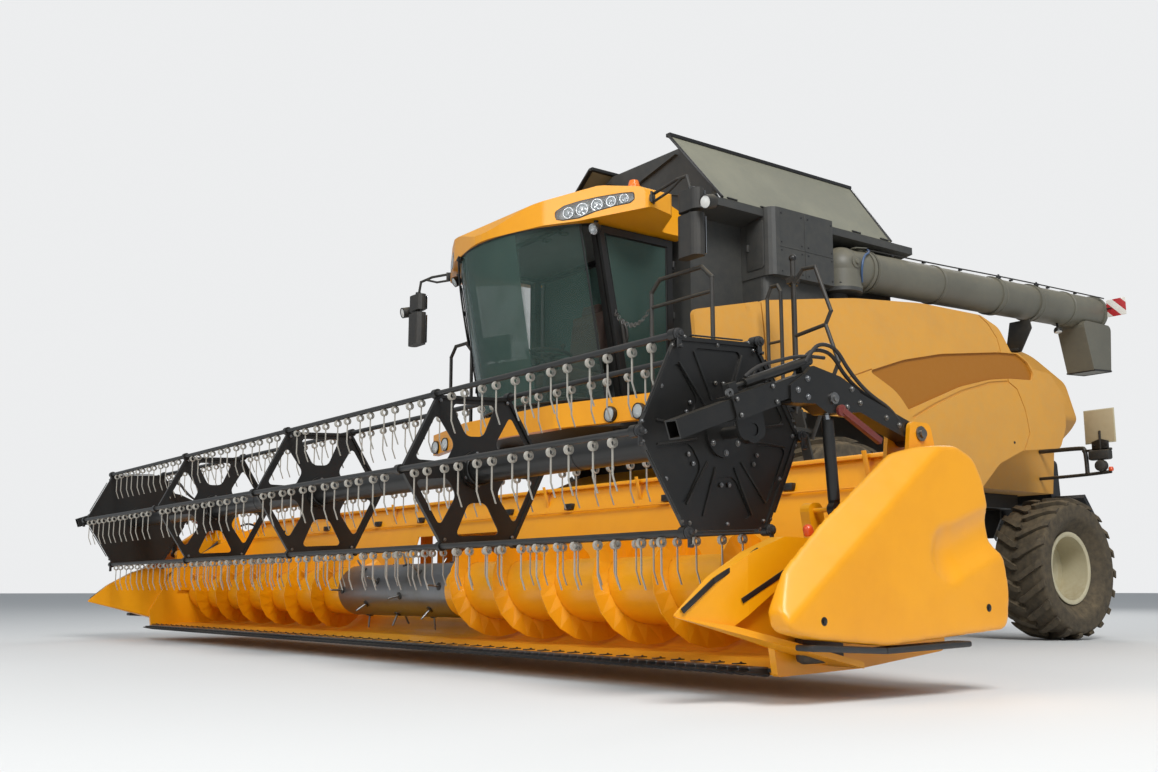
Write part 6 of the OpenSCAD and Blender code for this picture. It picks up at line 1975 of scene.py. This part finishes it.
@dataclass
class Studio:
    """Camera, lamps, world and floor.

    Attributes:
        eye: Camera place.
        heading: Direction of view on the ground, degrees from +X.
        pitch: Degrees above the horizon.
        focal_px: Focal length in pixels of the photograph's frame.
        frame_px: Width of the photograph's frame in pixels.
        floor_size: Width of the floor.
        lights: Name, place, size and power of each lamp.
    """

    eye: tuple[float, float, float] = (8.45, 8.745, 0.52)
    heading: float = -127.083
    pitch: float = 9.555
    focal_px: float = 1212.0
    frame_px: float = 1158.0
    floor_size: float = 400.0
    lights: tuple[tuple[str, Place, float, float], ...] = (("key", (9.0, 16.0, 17.0), 9.0, 3900.0),
                                                           ("fill", (18.0, 2.0, 9.0), 10.0, 900.0),
                                                           ("back", (-16.0, -9.0, 15.0), 10.0, 1200.0))

    def camera(self) -> None:
        """Makes the camera at the photograph's viewing angle."""
        data = bpy.data.cameras.new("camera")
        data.sensor_width = 36.0
        data.lens = self.focal_px / self.frame_px * data.sensor_width
        data.clip_end = 1000.0
        camera = bpy.data.objects.new("camera", data)
        bpy.context.scene.collection.objects.link(camera)
        turn, rise = math.radians(self.heading), math.radians(self.pitch)
        look = Vector((math.cos(turn) * math.cos(rise), math.sin(turn) * math.cos(rise), math.sin(rise)))
        camera.location = self.eye
        camera.rotation_mode = "QUATERNION"
        camera.rotation_quaternion = look.to_track_quat("-Z", "Y")
        bpy.context.scene.camera = camera

    def floor(self) -> None:
        """Makes the pale floor."""
        bpy.ops.mesh.primitive_plane_add(size=self.floor_size, location=(0, 0, 0))
        plane = bpy.context.object
        plane.name = "floor"
        material, graph = new_material("pale studio floor")
        shader = graph.add("BsdfPrincipled", {"Base Color": linear("#dcdcda"), "Roughness": 0.9})
        graph.add("OutputMaterial", {"Surface": shader.outputs["BSDF"]})
        plane.data.materials.append(material)

    def world(self) -> None:
        """Makes an even world: pale to the camera and in reflections, softer as light."""
        world = bpy.data.worlds.new("studio")
        bpy.context.scene.world = world
        world.use_nodes = True
        graph = Graph(world.node_tree)
        path = graph.add("LightPath").outputs
        seen = graph.calc("MAXIMUM", path["Is Camera Ray"], path["Is Transmission Ray"])
        soft = graph.add("Background", {"Color": linear("#dfe6ee"), "Strength": 0.48})
        shown = graph.add("Background", {"Color": linear("#f2f3f4"), "Strength": 0.95})
        mixed = graph.add("MixShader", {0: seen, 1: soft.outputs["Background"], 2: shown.outputs["Background"]})
        graph.add("OutputWorld", {"Surface": mixed.outputs["Shader"]})

    def lamps(self) -> None:
        """Adds a broad key lamp from high on the left, a weak fill from ahead and a back light."""
        for name, place, size, power in self.lights:
            data = bpy.data.lights.new(name, "AREA")
            data.energy, data.size, data.shape = power, size, "DISK"
            lamp = bpy.data.objects.new(name, data)
            bpy.context.scene.collection.objects.link(lamp)
            lamp.location = place
            lamp.rotation_mode = "QUATERNION"
            lamp.rotation_quaternion = (Vector((0, 0, 1.5)) - Vector(place)).to_track_quat("-Z", "Y")

    def build(self) -> None:
        """Builds the whole studio."""
        self.camera()
        self.floor()
        self.world()
        self.lamps()
        bpy.context.scene.view_settings.view_transform = "Standard"
        LOG.info("studio ready")


ASSEMBLIES = [
    WheelTrim("front_wheel", (0.0, 1350.0, 935.0), 1030.0, 150.0, 128.0, 410.0, 232.3),
    WheelTrim("rear_wheel", (-3770.0, 1320.0, 750.0), 1110.0, 110.0, 88.0, 355.5, 174.3),
    LampSet(),
    DriverSeat(),
    CabTrim(),
    MirrorTrim(),
    WalkwayTrim(),
    TankTrim(),
    TubeTrim(),
    BodyTrim(),
    HeaderTrim(),
    ReelTrim(),
    ArmTrim(),
]


def main() -> None:
    """Builds the studio, finishes the CAD nodes and adds every piece."""
    logging.basicConfig(level=logging.INFO, format="%(message)s")
    Studio().build()
    Assembly.shop.coat_nodes()
    for part in ASSEMBLIES:
        part.build()


if __name__ == "__main__":
    main()
